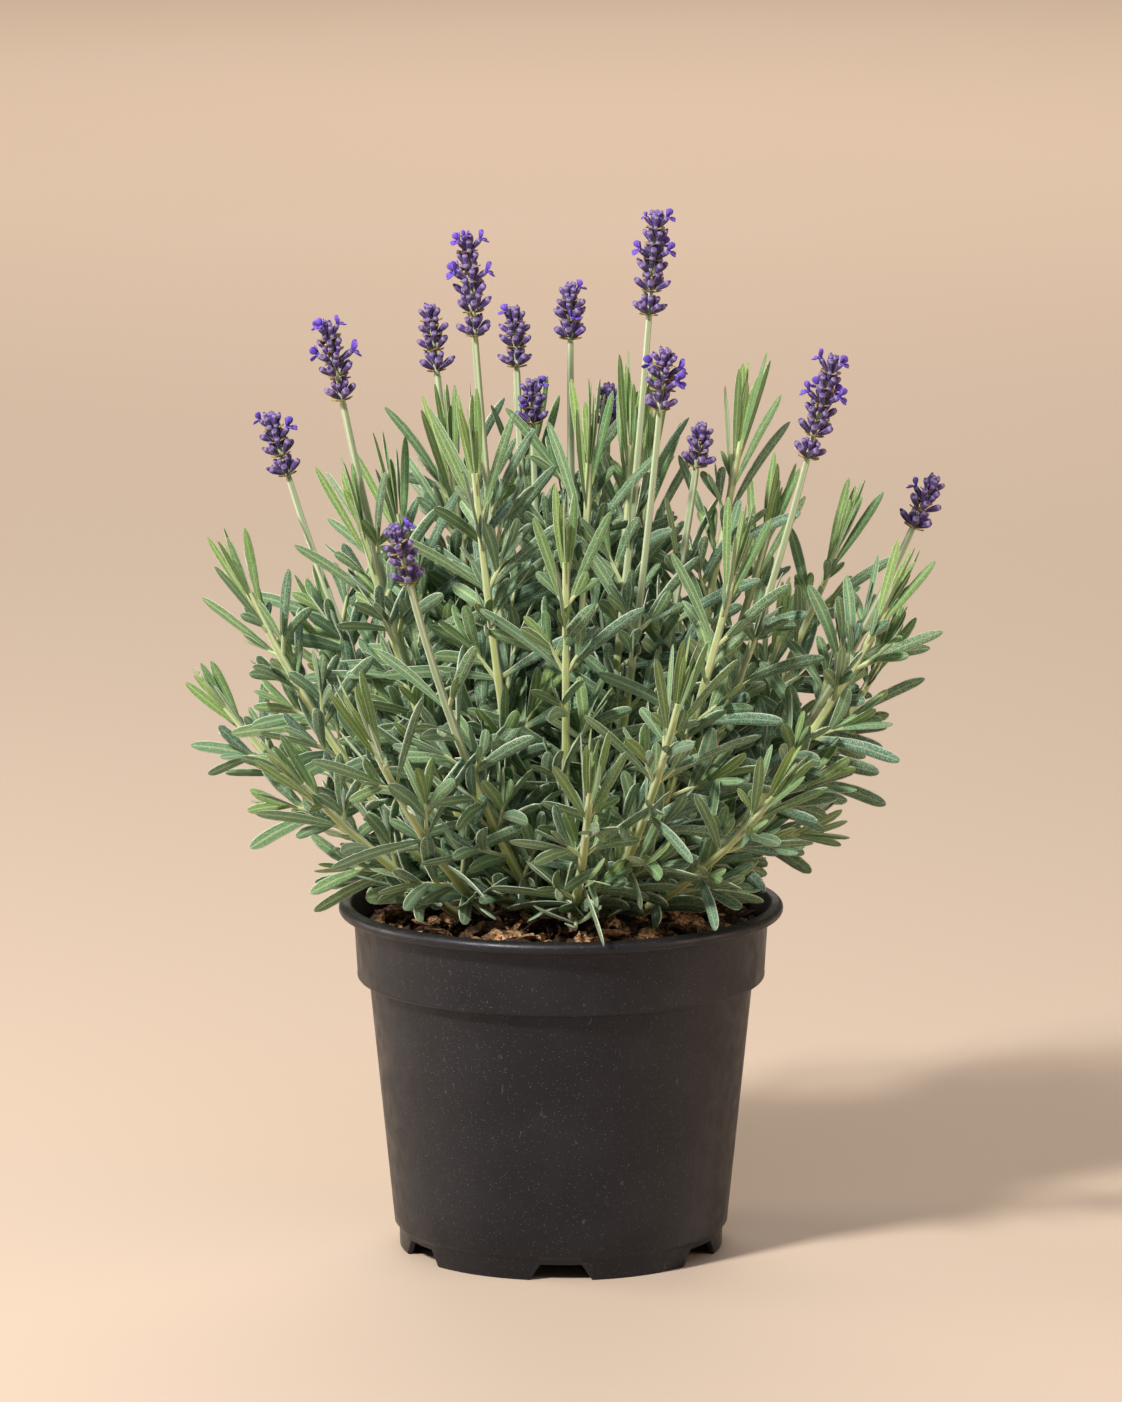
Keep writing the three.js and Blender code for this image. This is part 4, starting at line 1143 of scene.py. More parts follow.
def side_shoot(root, along, outward, length, rng):
    """A short shoot: its own thin stem and a few pairs of small leaves up to its tip."""
    lean = math.radians(rng.uniform(26, 42))
    way = unit(leaning(along, outward, lean))
    across = unit(np.cross(way, UP + 0.01 * outward))
    quarter = np.cross(across, way)
    leaves = []
    pairs = 1 + int(length > 6) + int(length > 13)
    spin = rng.uniform(0, math.pi)
    first_rank = 1.2 if rng.uniform() < 0.4 else 4
    for pair in range(pairs):
        at = root + way * length * (1 - 0.7 * pair / pairs)
        size = (14 + 0.8 * length) * (0.72 + 0.2 * pair) * rng.uniform(0.85, 1.15)
        for side in (0, math.pi):
            angle = spin + pair * math.pi / 2 + side + rng.normal(0, 0.15)
            out = leaning(across, quarter, angle)
            lift = math.radians(12 + 15 * pair + rng.normal(0, 5))
            leaves.append(little_leaf(at, way, out, size, 2.6 + 0.11 * size, lift,
                                      first_rank + pair))
    tip = root + way * length
    stem = {"kind": STEM_LINE, "points": np.array([root, root + way * length * 0.5, tip]),
            "half": [0.85, 0.8, 0.6], "up": [across] * 3, "along": (0.75, 0.85, 0.95),
            "age": 0.2, "tint": rng.uniform()}
    return leaves, stem

# %% What a stem bears beyond its measured leaves
# Millimetres along the stem: between the last measured pair and the first old one, from
# one old pair to the next, and the bare length over the soil.
FIRST_OLD_PAIR = 17
OLD_PAIR_SPACING = 15
BARE_FOOT = 14


def all_pair_places(stem):
    """The measured pairs and the further ones that the stem bears down to the soil."""
    places = [(rank, from_end, False) for rank, from_end in pair_places(stem)]
    rank, from_end = places[-1][0] + 1, places[-1][1] + FIRST_OLD_PAIR
    while from_end < stem.length - BARE_FOOT:
        places.append((rank, from_end, True))
        from_end += OLD_PAIR_SPACING
        rank += 1
    return places


def leaf_drop(leaf):
    """How far the tip of a leaf hangs below its foot."""
    return leaf["spine"][0][2] - leaf["spine"][-1][2]


SIDE_SHOOT_CHANCE = 0.72
SIDE_SHOOT_BY_RANK = (0, 0, 4, 8, 12, 15, 18, 20)
LEAST_SIDE_SHOOT = 2
DEEPEST_DROP = 9


def filling_growth(stem, rng):
    """Lines of everything that fills the bush round one stem."""
    chains = []
    for order, (rank, from_end, is_low) in enumerate(all_pair_places(stem)):
        centre, along, first, second, side = stem.frame(from_end)
        for face in (order % 2, order % 2 + 2):
            normal = leaning(first, second, face * math.pi / 2)
            outward = turned(normal, along, rng.normal(0, 0.14))
            root = centre + normal * side * 0.4
            if is_low:
                length = rng.uniform(24, 34) * (0.7 + 0.3 * stem.vigour)
                lift = math.radians(rng.uniform(48, 80))
                width = rng.uniform(5.0, 6.8)
                low = little_leaf(root, along, outward, length, width, lift, 5, rng.uniform(4, 16))
                low = facing_light(low, unit(root * (1, 1, 0)))
                if stays_in_place(low):
                    chains.append(leaf_chain(low, rng, small=True))
            largest = SIDE_SHOOT_BY_RANK[min(rank, len(SIDE_SHOOT_BY_RANK) - 1)]
            size = largest * rng.uniform(0.6, 1.25) * (0.6 + 0.4 * stem.vigour)
            if size < LEAST_SIDE_SHOOT or rng.uniform() > SIDE_SHOOT_CHANCE:
                continue
            leaves, shoot = side_shoot(root, along, outward, size, rng)
            kept = [leaf for leaf in leaves
                    if stays_in_place(leaf) and leaf_drop(leaf) < DEEPEST_DROP]
            if kept:
                chains += [leaf_chain(leaf, rng, small=True) for leaf in kept] + [shoot]
    return chains

# %% Low leaves
GROUND_LEAVES_FROM = 17
GROUND_LEAVES = 5
LOWEST_GROUND_LEAF = 11


def ground_leaves(stem, rng):
    """Broad old leaves low on the outer stems. They hang out over the soil."""
    chains = []
    if math.hypot(*stem.foot[:2]) < GROUND_LEAVES_FROM:
        return chains
    away = unit(stem.foot * (1, 1, 0))
    for k in range(GROUND_LEAVES):
        above = rng.uniform(LOWEST_GROUND_LEAF, 30)
        centre, *_, side = stem.frame(stem.length - above)
        outward = turned(away, UP, (k - (GROUND_LEAVES - 1) / 2) * 0.7 + rng.normal(0, 0.2))
        lift = math.radians(58 + 1.6 * (above - LOWEST_GROUND_LEAF) + rng.normal(0, 6))
        arch = math.radians(rng.uniform(7, 14))
        spine, directions = leaf_spine(centre + outward * side * 0.4, UP, outward,
                                       rng.uniform(24, 32), lift, arch, LONG_LEAF_STEPS)
        leaf = facing_light({"spine": spine, "directions": directions,
                             "width": rng.uniform(6.6, 8.4), "rank": 6}, away)
        if stays_in_place(leaf):
            chains.append(leaf_chain(leaf, rng))
    return chains

# %% Folded tips
# Pairs of the tuft: turn round the stem, share of the full length, lift and width.
TUFT = ((0.2, 0.5, 2, 2.8), (1.75, 0.66, 3, 3.3), (0.85, 0.85, 6, 3.6))


def folded_tip(stem, rng):
    """The young leaves at the tip: a tight upright tuft, the innermost still closed."""
    centre, along, first, second, _ = stem.frame(0)
    chains = []
    full = LEAF_LENGTH * 0.8 * stem.vigour
    for turn, share, lift, width in TUFT:
        for half_turn in (0, math.pi):
            angle = turn + half_turn + rng.normal(0, 0.12)
            outward = leaning(first, second, angle)
            size = full * share * (1 if half_turn == 0 else 0.88)
            root = centre + outward * 0.3 - along * (1 - share)
            leaf = little_leaf(root, along, outward, size, width,
                               math.radians(lift + rng.normal(0, 1.5)), 0, arch=2)
            chains.append(leaf_chain(leaf, rng, small=share < 0.8))
    return chains

# %% The stem's own line
PEDUNCLE = 2  # added to the tint of a flowering stem, which is greyer above its leaves


def stem_chain(stem, rng):
    """The line of the stem itself, a little thicker at each pair of leaves."""
    count = max(8, int(stem.length / 5))
    nodes_at = [from_end for _, from_end, _ in all_pair_places(stem)]
    foot, _, first, *_ = stem.frame(stem.length)
    points, half, up, shares = [foot - UP * 6], [STEM_SIDE_AT_FOOT / 2], [first], [0.0]
    for i in range(count + 1):
        from_end = stem.length * (1 - i / count)
        centre, _, first, _, side = stem.frame(from_end)
        swell = 1 + 0.16 * math.exp(-(min(abs(from_end - n) for n in nodes_at) / 2.5) ** 2)
        points.append(centre)
        half.append(side / 2 * swell)
        up.append(first)
        shares.append(i / count)
    return {"kind": STEM_LINE, "points": np.array(points), "half": half, "up": up,
            "along": shares, "age": 0.5,
            "tint": rng.uniform() + (PEDUNCLE if stem.bare else 0)}

# %% [markdown]
# ### Lines that carry numbers
# All that grows on a stem is by now a line with a width, a facing and an age at each of
# its points. Each could be a curve object, but thousands of objects are slow. Loose edges
# in one mesh are quick, and its points can carry any numbers for the next step to read.

# %% Lines as a mesh of loose edges
def carry(made, label, values):
    """Stores a number or a vector with each point of an object's mesh."""
    values = np.asarray(values, dtype=np.float32)
    kind, field = ("FLOAT", "value") if values.ndim == 1 else ("FLOAT_VECTOR", "vector")
    made.data.attributes.new(label, kind, "POINT").data.foreach_set(field, values.ravel())


def line_object(name, chains):
    """All lines of one shoot as edges, with their widths, facings and ages as attributes."""
    sizes = [len(c["points"]) for c in chains]
    points = np.concatenate([c["points"] for c in chains]) * MM
    edges, start = [], 0
    for size in sizes:
        edges += [(start + i, start + i + 1) for i in range(size - 1)]
        start += size
    made = mesh_object(name, [tuple(p) for p in points], [], edges)
    carry(made, "half_width", np.concatenate([c["half"] for c in chains]) * MM)
    carry(made, "leaf_along", np.concatenate([c["along"] for c in chains]))
    for label, key in (("kind", "kind"), ("leaf_age", "age"), ("leaf_tint", "tint")):
        carry(made, label, np.repeat([c[key] for c in chains], sizes))
    carry(made, "facing", np.concatenate([c["up"] for c in chains]))
    return made

# %% [markdown]
# ### Drawing leaves and stems along the lines
# A leaf and a stem are both one section drawn along a line, so one geometry tree makes a
# whole shoot. It turns the edges into curves, points each curve's normal where the leaf
# should face, scales the section by the width at each point, and gives each part its
# material. The leaf's section is a flat oval with a groove over the midrib, a rib under
# it and margins rolled down; the stem's is the rounded square of the mint family. The
# section stores how far across and how far up it lies, and the materials read that.

# %% Geometry nodes: the section of a leaf
MIDRIB_SHARPNESS = -22.0


def leaf_section(tree, given, points):
    """A closed leaf section one unit to each side, with its own two attributes."""
    marked = node(tree, "GeometryNodeCurvePrimitiveCircle", {"Resolution": points, "Radius": 1.0})
    at = node(tree, "ShaderNodeSeparateXYZ", {0: node(tree, "GeometryNodeInputPosition")})
    across, height = at.outputs["X"], at.outputs["Y"]
    squared = node(tree, "ShaderNodeMath", {0: across, 1: across}, operation="MULTIPLY")
    falling = node(tree, "ShaderNodeMath", {0: squared, 1: MIDRIB_SHARPNESS},
                   operation="MULTIPLY")
    at_midrib = node(tree, "ShaderNodeMath", {0: falling}, operation="EXPONENT")
    at_margin = node(tree, "ShaderNodeMath", {0: squared, 1: squared}, operation="MULTIPLY")
    y = node(tree, "ShaderNodeMath", {0: height, 1: given.outputs["Thickness"]},
             operation="MULTIPLY")
    for place, depth in ((at_midrib, "Midrib"), (at_margin, "Roll")):
        lower = node(tree, "ShaderNodeMath", {0: place, 1: given.outputs[depth]},
                     operation="MULTIPLY")
        y = node(tree, "ShaderNodeMath", {0: y, 1: lower}, operation="SUBTRACT")
    for label, value in (("leaf_across", across), ("leaf_upper", height)):
        marked = node(tree, "GeometryNodeStoreNamedAttribute", {
            "Geometry": marked, "Name": label, "Value": value,
        }, data_type="FLOAT", domain="POINT")
    return node(tree, "GeometryNodeSetPosition", {
        "Geometry": marked, "Position": node(tree, "ShaderNodeCombineXYZ", {"X": across, "Y": y}),
    })

# %% Geometry nodes: the section of a stem
def stem_section(tree, given, points):
    """A rounded square one unit from centre to side: |x| and |y| to a high power."""
    ring = node(tree, "GeometryNodeCurvePrimitiveCircle", {"Resolution": points, "Radius": 1.0})
    place = node(tree, "GeometryNodeInputPosition")
    at = node(tree, "ShaderNodeSeparateXYZ", {0: place})
    square = given.outputs["Squareness"]
    powers = []
    for axis in ("X", "Y"):
        size = node(tree, "ShaderNodeMath", {0: at.outputs[axis]}, operation="ABSOLUTE")
        powers.append(node(tree, "ShaderNodeMath", {0: size, 1: square}, operation="POWER"))
    both = node(tree, "ShaderNodeMath", {0: powers[0], 1: powers[1]}, operation="ADD")
    inverse = node(tree, "ShaderNodeMath", {0: -1.0, 1: square}, operation="DIVIDE")
    root = node(tree, "ShaderNodeMath", {0: both, 1: inverse}, operation="POWER")
    shaped = node(tree, "ShaderNodeVectorMath", {0: place, 3: root}, operation="SCALE")
    diagonal = node(tree, "ShaderNodeMath", {0: at.outputs["X"], 1: at.outputs["Y"]},
                    operation="MULTIPLY")
    corner = node(tree, "ShaderNodeMath", {0: diagonal}, operation="ABSOLUTE")
    ridge = node(tree, "ShaderNodeMath", {0: corner, 1: 2.0}, operation="MULTIPLY")
    marked = node(tree, "GeometryNodeStoreNamedAttribute", {
        "Geometry": ring, "Name": "stem_ridge", "Value": ridge,
    }, data_type="FLOAT", domain="POINT")
    return node(tree, "GeometryNodeSetPosition", {"Geometry": marked, "Position": shaped})

# %% Geometry nodes: a leafy shoot
def of_kind(tree, kind):
    """Whether a point is of one kind, by the number that it carries."""
    kinds = node(tree, "GeometryNodeInputNamedAttribute", {"Name": "kind"}, data_type="FLOAT")
    return node(tree, "FunctionNodeCompare", {0: kinds, 1: float(kind), "Epsilon": 0.1},
                data_type="FLOAT", operation="EQUAL")


def drawn_part(tree, given, kind, section, material):
    """The lines of one kind with a section drawn along them."""
    lines = node(tree, "GeometryNodeSeparateGeometry", {
        "Geometry": given.outputs["Geometry"], "Selection": of_kind(tree, kind),
    }, domain="POINT")
    facing = node(tree, "GeometryNodeInputNamedAttribute", {"Name": "facing"},
                  data_type="FLOAT_VECTOR")
    faced = node(tree, "GeometryNodeSetCurveNormal", {
        "Curve": node(tree, "GeometryNodeMeshToCurve", {"Mesh": lines}), "Normal": facing,
    }, mode="FREE")
    widths = node(tree, "GeometryNodeInputNamedAttribute", {"Name": "half_width"},
                  data_type="FLOAT")
    drawn = node(tree, "GeometryNodeCurveToMesh", {
        "Curve": faced, "Profile Curve": section, "Scale": widths, "Fill Caps": True,
    })
    return node(tree, "GeometryNodeSetMaterial", {
        "Geometry": drawn, "Material": given.outputs[material],
    })


def give_out(tree, parts):
    """Joins the parts, shades them smooth and ends the tree in plain geometry."""
    joined = node(tree, "GeometryNodeJoinGeometry")
    for part in parts:
        tree.links.new(part.outputs[0], joined.inputs["Geometry"])
    smooth = node(tree, "GeometryNodeSetShadeSmooth", {"Geometry": joined})
    whole = node(tree, "GeometryNodeRealizeInstances", {"Geometry": smooth})
    node(tree, "NodeGroupOutput", {"Geometry": whole})


def leafy_shoot_tree():
    tree, given = new_tree("leafy_shoot", {
        "Thickness": ("Float", 0.17), "Midrib": ("Float", 0.09), "Roll": ("Float", 0.2),
        "Squareness": ("Float", 4.0), "Leaf": ("Material", None), "Stem": ("Material", None),
    })
    give_out(tree, [
        drawn_part(tree, given, STEM_LINE, stem_section(tree, given, 12), "Stem"),
        drawn_part(tree, given, LEAF_LINE, leaf_section(tree, given, 12), "Leaf"),
        drawn_part(tree, given, SMALL_LEAF_LINE, leaf_section(tree, given, 8), "Leaf"),
    ])
    return tree

# %% [markdown]
# ### Downy leaves
# A lavender leaf is grey-green because fine pale hairs cover it: more of them underneath,
# along the midrib and on the rolled margins, fewer on the young bright tips. The hairs are
# too fine to model, so the material pales those places, adds a soft sheen, and keeps the
# surface rough; its flecks of down are drawn far coarser than hairs, so that they show.
# Age and a per-leaf tint come from the lines, so no two leaves match.

# %% Leaf material
def leaf_upper_side(tree, tint, grown, hairs):
    """Bright green when young, blue-green when grown, paler at the foot and the midrib."""
    young = laid_over(tree, "#5f8431", "#4a783a", tint)
    old = laid_over(tree, "#3f6539", "#2f5e4b", tint)
    green = laid_over(tree, young, old, grown)
    green = laid_over(tree, green, "#7c9c86", patches(tree, 2.2, 4.0, 0.3, 0.75), 0.22)
    coat = node(tree, "ShaderNodeMapRange", {
        "Value": grown, "To Min": 0.3, "To Max": 0.5,
    }, interpolation_type="SMOOTHSTEP")
    green = laid_over(tree, green, "#cbd7c8", hairs, coat)
    green = laid_over(tree, green, "#b0ba78", carried(tree, "leaf_along", 0.2, 0.0), 0.55)
    midrib = carried(tree, "leaf_across", 0.16, 0.02, both_sides=True)
    return laid_over(tree, green, "#bcc8a4", midrib, 0.34)


def leaf_under_side(tree, tint, grown, hairs):
    """Paler and downier, with the rib standing out."""
    young = laid_over(tree, "#6e9038", "#5f853f", tint)
    old = laid_over(tree, "#587d4e", "#588163", tint)
    green = laid_over(tree, laid_over(tree, young, old, grown), "#c8d3c4", hairs, 0.4)
    rib = carried(tree, "leaf_across", 0.26, 0.04, both_sides=True)
    return laid_over(tree, green, "#c0cc9f", rib, 0.42)


def make_leaf_material():
    material, tree, shader = new_material("downy_leaf", {
        "Roughness": 0.6, "Specular IOR Level": 0.3, "Sheen Weight": 0.3,
        "Sheen Roughness": 0.35, "Sheen Tint": srgb("#e6eedc"),
    })
    shared = (
        node(tree, "ShaderNodeAttribute", attribute_name="leaf_tint").outputs["Fac"],
        carried(tree, "leaf_age", 0.05, 0.6),
        patches(tree, 0.4, 3.0, 0.48, 0.66),
    )
    colour = laid_over(tree, leaf_under_side(tree, *shared), leaf_upper_side(tree, *shared),
                       carried(tree, "leaf_upper", -0.15, 0.15))
    margin = carried(tree, "leaf_across", 0.83, 0.99, both_sides=True)
    tree.links.new(laid_over(tree, colour, "#dde3d0", margin, 0.66), shader.inputs["Base Color"])
    roughened(tree, shader, 0.5, 3.0, 0.4, 0.15)
    return material

# %% Stem material
def make_stem_material():
    """Green with pale downy corners; greyer above the leaves, brown and woody at the foot."""
    material, tree, shader = new_material("downy_square_stem", {
        "Roughness": 0.66, "Sheen Weight": 0.3, "Sheen Roughness": 0.5,
    })
    green = laid_over(tree, "#a3ae55", "#a6b57e", carried(tree, "leaf_along", 0.3, 0.9))
    streaks = patches(tree, 1.4, 4.0, 0.35, 0.7, stretch=(1, 1, 0.3))
    green = laid_over(tree, green, "#82964a", streaks, 0.3)
    green = laid_over(tree, green, "#84987a", carried(tree, "leaf_tint", 1.4, 1.6),
                      carried(tree, "leaf_along", 0.4, 0.7), 0.85)
    green = laid_over(tree, green, "#75603f", carried(tree, "leaf_along", 0.16, 0.02), 0.75)
    green = laid_over(tree, green, "#d5dcc2", carried(tree, "stem_ridge", 0.55, 0.98), 0.55)
    tree.links.new(green, shader.inputs["Base Color"])
    roughened(tree, shader, 0.6, 3.0, 0.3, 0.15)
    return material

# %% Make every shoot
shoot_tree = leafy_shoot_tree()
leaf_material = make_leaf_material()
stem_material = make_stem_material()


def make_shoot(stem, seed):
    rng = np.random.default_rng(seed)
    chains = [stem_chain(stem, rng)]
    chains += [leaf_chain(leaf, rng) for leaf in stem.leaves]
    chains += filling_growth(stem, rng)
    chains += ground_leaves(stem, rng)
    if not stem.bare:
        chains += folded_tip(stem, rng)
    made = line_object(f"{stem.name}_leaves", chains)
    use_tree(made, shoot_tree, leaf=leaf_material, stem=stem_material)
    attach(made, "root")
    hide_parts(stem.name)
    return made, len(chains)


shoots = [make_shoot(stem, 100 + i) for i, stem in enumerate(stems)]
print("shoots:", sum(count for _, count in shoots), "lines,",
      sum(len(made.data.polygons) for made, _ in shoots), "faces")

# %% [markdown]
# ## Flower heads
# A lavender head is a stack of whorls round a pale downy stalk. Each whorl holds a tier
# of buds that stand off at about fifty degrees and a second tier between them, more
# upright; the lowest whorl sits apart, and the top ends in a few upright buds. What looks
# like a petal is mostly the calyx, a ribbed downy tube. A few of them have opened and
# show a bright corolla with two lobes up and three out. Small papery bracts hold each
# whorl from below.

# %% Shapes of the parts of a head, one unit long, growing along Z
def closed_tube(first, count, rings):
    """Quads between rings of points, and one face to close each end."""
    last = first + (rings - 1) * count
    return ring_quads(first, count, rings) + [
        tuple(range(first + count - 1, first - 1, -1)), tuple(range(last, last + count)),
    ]


def marked_shape(name, points, faces, along, ribs=None):
    """An object whose points carry how far along they lie and whether they are on a rib."""
    made = mesh_object(name, points, faces)
    carry(made, "part_along", along)
    carry(made, "part_rib", ribs or [0.0] * len(points))
    return made


def ring_shape(name, profile, sides, rib=0.0):
    """A turned shape from (radius, height) pairs, with every other side drawn out."""
    points, along, ribs = [], [], []
    top = profile[-1][1]
    for radius, height in profile:
        for i in range(sides):
            angle = 2 * math.pi * i / sides
            r = radius * (1 + (rib if i % 2 else -rib))
            points.append((r * math.cos(angle), r * math.sin(angle), height))
            along.append(height / top)
            ribs.append(float(i % 2))
    return marked_shape(name, points, closed_tube(0, sides, len(profile)), along, ribs)

# %% Petals and bracts
# A lobe's rows: how far along, how wide and how thick. Its ring: across and up.
LOBE_ROWS = ((0, 0.3, 0.6), (0.3, 0.78, 1.0), (0.62, 1.0, 0.95), (0.86, 0.82, 0.75),
             (1.0, 0.36, 0.4))
LOBE_RING = ((-1, 0), (-0.5, 1), (0.5, 1), (1, 0), (0.5, -1), (-0.5, -1))

# The corolla's tube in (radius, height), and its lobes: turn, lean, length and width.
TUBE = ((0.24, 0.0), (0.3, 0.3), (0.42, 0.55))
TUBE_SIDES = 6
LOBES = ((-40, 24, 1.05, 1.0), (-140, 24, 1.05, 1.0), (90, 64, 0.9, 0.8),
         (42, 60, 0.8, 0.85), (138, 60, 0.8, 0.85))


def petal(points, faces, along, start, way, side, length, width, cup, thick):
    """One rounded lobe, a little cupped: rings of six points, closed at both ends."""
    first = len(points)
    normal = np.cross(way, side)
    for share, wide, full in LOBE_ROWS:
        middle = start + way * length * share + normal * cup * share * share
        for across, up in LOBE_RING:
            rise = up * thick / 2 * full + cup * across * across * wide
            points.append(tuple(middle + side * across * width / 2 * wide + normal * rise))
            along.append(0.55 + 0.45 * share)
    faces.extend(closed_tube(first, len(LOBE_RING), len(LOBE_ROWS)))


def corolla_shape():
    """A short tube; the two lobes of its upper lip stand towards the stalk, three hang out."""
    points, along = [], []
    for radius, height in TUBE:
        for i in range(TUBE_SIDES):
            angle = 2 * math.pi * i / TUBE_SIDES
            points.append((radius * math.cos(angle), radius * math.sin(angle), height))
            along.append(height)
    faces = closed_tube(0, TUBE_SIDES, len(TUBE))
    for turn, lean, length, width in LOBES:
        t, v = math.radians(turn), math.radians(lean)
        out = np.array((math.cos(t), math.sin(t), 0.0))
        way = UP * math.cos(v) + out * math.sin(v)
        start = out * 0.3 + UP * 0.5
        petal(points, faces, along, start, way, np.cross(UP, out), length, width, -0.1, 0.24)
    return marked_shape("corolla", points, faces, along)


def bract_shape():
    """A pointed papery scale that cups a pair of buds from below."""
    points, faces, along = [], [], []
    across = np.array((1.0, 0, 0))
    petal(points, faces, along, np.zeros(3), UP, across, 1.0, 0.95, 0.16, 0.08)
    return marked_shape("bract", points, faces, along)

# %% The four parts that repeat on a head
CALYX_PROFILE = ((0.06, 0.0), (0.11, 0.12), (0.165, 0.36), (0.205, 0.66), (0.185, 0.87),
                 (0.09, 0.99))
CLOSED_PROFILE = ((0.3, 0.0), (0.42, 0.35), (0.4, 0.7), (0.18, 1.0))
HEAD_PARTS = {
    "Calyx": ring_shape("calyx", CALYX_PROFILE, 10, rib=0.04),
    "Closed corolla": ring_shape("closed_corolla", CLOSED_PROFILE, 8),
    "Corolla": corolla_shape(), "Bract": bract_shape(),
}
print({label: len(part.data.polygons) for label, part in HEAD_PARTS.items()})

# %% [markdown]
# ### Whorls of buds
# A whorl is a ring of buds at one height of the stalk. Geometry nodes could set them out,
# but the measured heads have their places already. So each bud is one point that carries
# what it is, where it looks, how long it is and how dark, and some buds bear a flower.

# %% Where everything sits on a head
HEAD_SIDES = 5
LOW_WHORL = 3
TOP_WHORL = 7.5
BUD_LENGTH = 7.4
FLOWER_LENGTH = 3.9
BIG_HEAD = 34
RACHIS, CALYX, CLOSED, OPEN, BRACT = range(5)


def whorls(length, count):
    """Heights of the whorls: the lowest one apart, the others evenly up to the top."""
    first = LOW_WHORL + min(10, 0.28 * length)
    steps = count - 1
    heights = [LOW_WHORL]
    heights += [first + (length - TOP_WHORL - first) * i / (steps - 1) for i in range(steps)]
    return heights


class HeadPoints:
    """Points of one head: place, direction, facing, size, kind and shade."""

    def __init__(self, frame_at):
        self.centre, self.along, self.first, self.second = frame_at
        self.rows = []

    def add(self, kind, place, way, outward, size, shade):
        self.rows.append((kind, place, way, outward, size, shade))

    def radial(self, angle):
        return leaning(self.first, self.second, angle)

    def bud(self, height, radius, angle, spread, size, rng, open_chance, bright=0.0):
        """One calyx, and at times the corolla that has pushed out of it."""
        outward = self.radial(angle)
        way = unit(leaning(self.along, outward, spread))
        root = self.centre + self.along * height + outward * radius
        shade = min(1, max(0, rng.normal(0.4, 0.2) + bright))
        length = BUD_LENGTH * size
        self.add(CALYX, root, way, outward, length, shade)
        mouth = root + way * length * 0.93
        draw = rng.uniform()
        flower = FLOWER_LENGTH * size
        for _ in range(2):
            tip = mouth + way * flower * 1.35 + outward * 1.6
            if np.all(tip > BOX_LOW - BOX_SLACK) and np.all(tip < BOX_HIGH + BOX_SLACK):
                break
            flower *= 0.66
        else:
            return
        if draw < open_chance:
            self.add(OPEN, mouth - way * 0.9, way, outward, flower, rng.uniform(0.7, 1))
        elif draw < open_chance + 0.18:
            self.add(CLOSED, mouth - way * 0.6, way, outward, 1.9 * size, rng.uniform(0.25, 0.45))

# %% One whorl after another
BRACTS = 4
SPENT_FLOWERS = 3
TOP_BUDS = 3


def chance_to_open(index, flowering, faces_side, big):
    """Most flowers open on the flowering whorls of big heads, first of all at the sides."""
    if flowering and big:
        return 1.0 if faces_side else 0.3
    if flowering and faces_side:
        return 0.2
    return 0.03 if index else 0.0


def add_buds(head, index, last, height, big, rng):
    """A tier of buds that stand off, and a more upright tier between them."""
    share = index / last
    spread = math.radians(54 - 34 * share ** 1.5)
    size = 1 - 0.22 * share ** 1.5
    radius = 1.6 if index == 0 else 2.7 - 1.1 * share
    turn = index * math.pi / HEAD_SIDES
    flowering = index in (last, (last + 1) // 2)
    for k in range(HEAD_SIDES):
        angle = (k + 1) * 2 * math.pi / HEAD_SIDES + turn + rng.normal(0, 0.09)
        faces_side = abs(head.radial(angle)[0]) > 0.72
        opens = chance_to_open(index, flowering, faces_side, big)
        far_out = 0.3 if flowering and faces_side and index > 1 else 0
        head.bud(height, radius * 0.8, angle, spread + far_out + rng.normal(0, 0.07),
                 size * rng.uniform(0.92, 1.06), rng, opens)
        between = angle + math.pi / HEAD_SIDES
        head.bud(height + 2.3, radius * 0.7, between, spread * 0.5 + rng.normal(0, 0.06),
                 size * rng.uniform(0.72, 0.88), rng, 0.02, bright=0.12)


def add_scales(head, base, index, height, rng):
    """Bracts under a whorl, and spent flowers caught below all but the lowest one."""
    turn = index * math.pi / HEAD_SIDES
    for k in range(BRACTS):
        outward = head.radial(turn + (k + 0.5) * 2 * math.pi / BRACTS + rng.normal(0, 0.15))
        head.add(BRACT, base + head.along * (height - 1.3) + outward,
                 unit(head.along * 0.5 + outward), outward,
                 rng.uniform(3.2, 4.4), rng.uniform())
    for _ in range(SPENT_FLOWERS if index else 0):
        outward = head.radial(rng.uniform(0, 2 * math.pi))
        head.add(CLOSED, base + head.along * (height - rng.uniform(1, 3.4)) + outward * 2.2,
                 unit(outward + head.along * 0.4), outward, rng.uniform(1.0, 1.6), 0.0)


def head_points(stem, rng):
    """All parts of one head, whorl by whorl, on the measured buds' own lines."""
    length = stem.row["length"]
    base, along, first, second, _ = stem.frame(0)
    head = HeadPoints((base - along * 0.3, along, first, second))
    heights = whorls(length, stem.row["whorls"])
    for index, height in enumerate(heights):
        add_buds(head, index, len(heights) - 1, height, length > BIG_HEAD, rng)
        add_scales(head, base, index, height, rng)
    for k in range(TOP_BUDS):
        angle = k * 2 * math.pi / TOP_BUDS + 0.4
        head.bud(length - 6.9 - 0.9 * k, 0.7, angle, math.radians(8), 0.84, rng, 0.0,
                 bright=0.4)
    line = [head.centre + along * (length * share) for share in (-0.02, 0.3, 0.6, 0.85)]
    return head, line

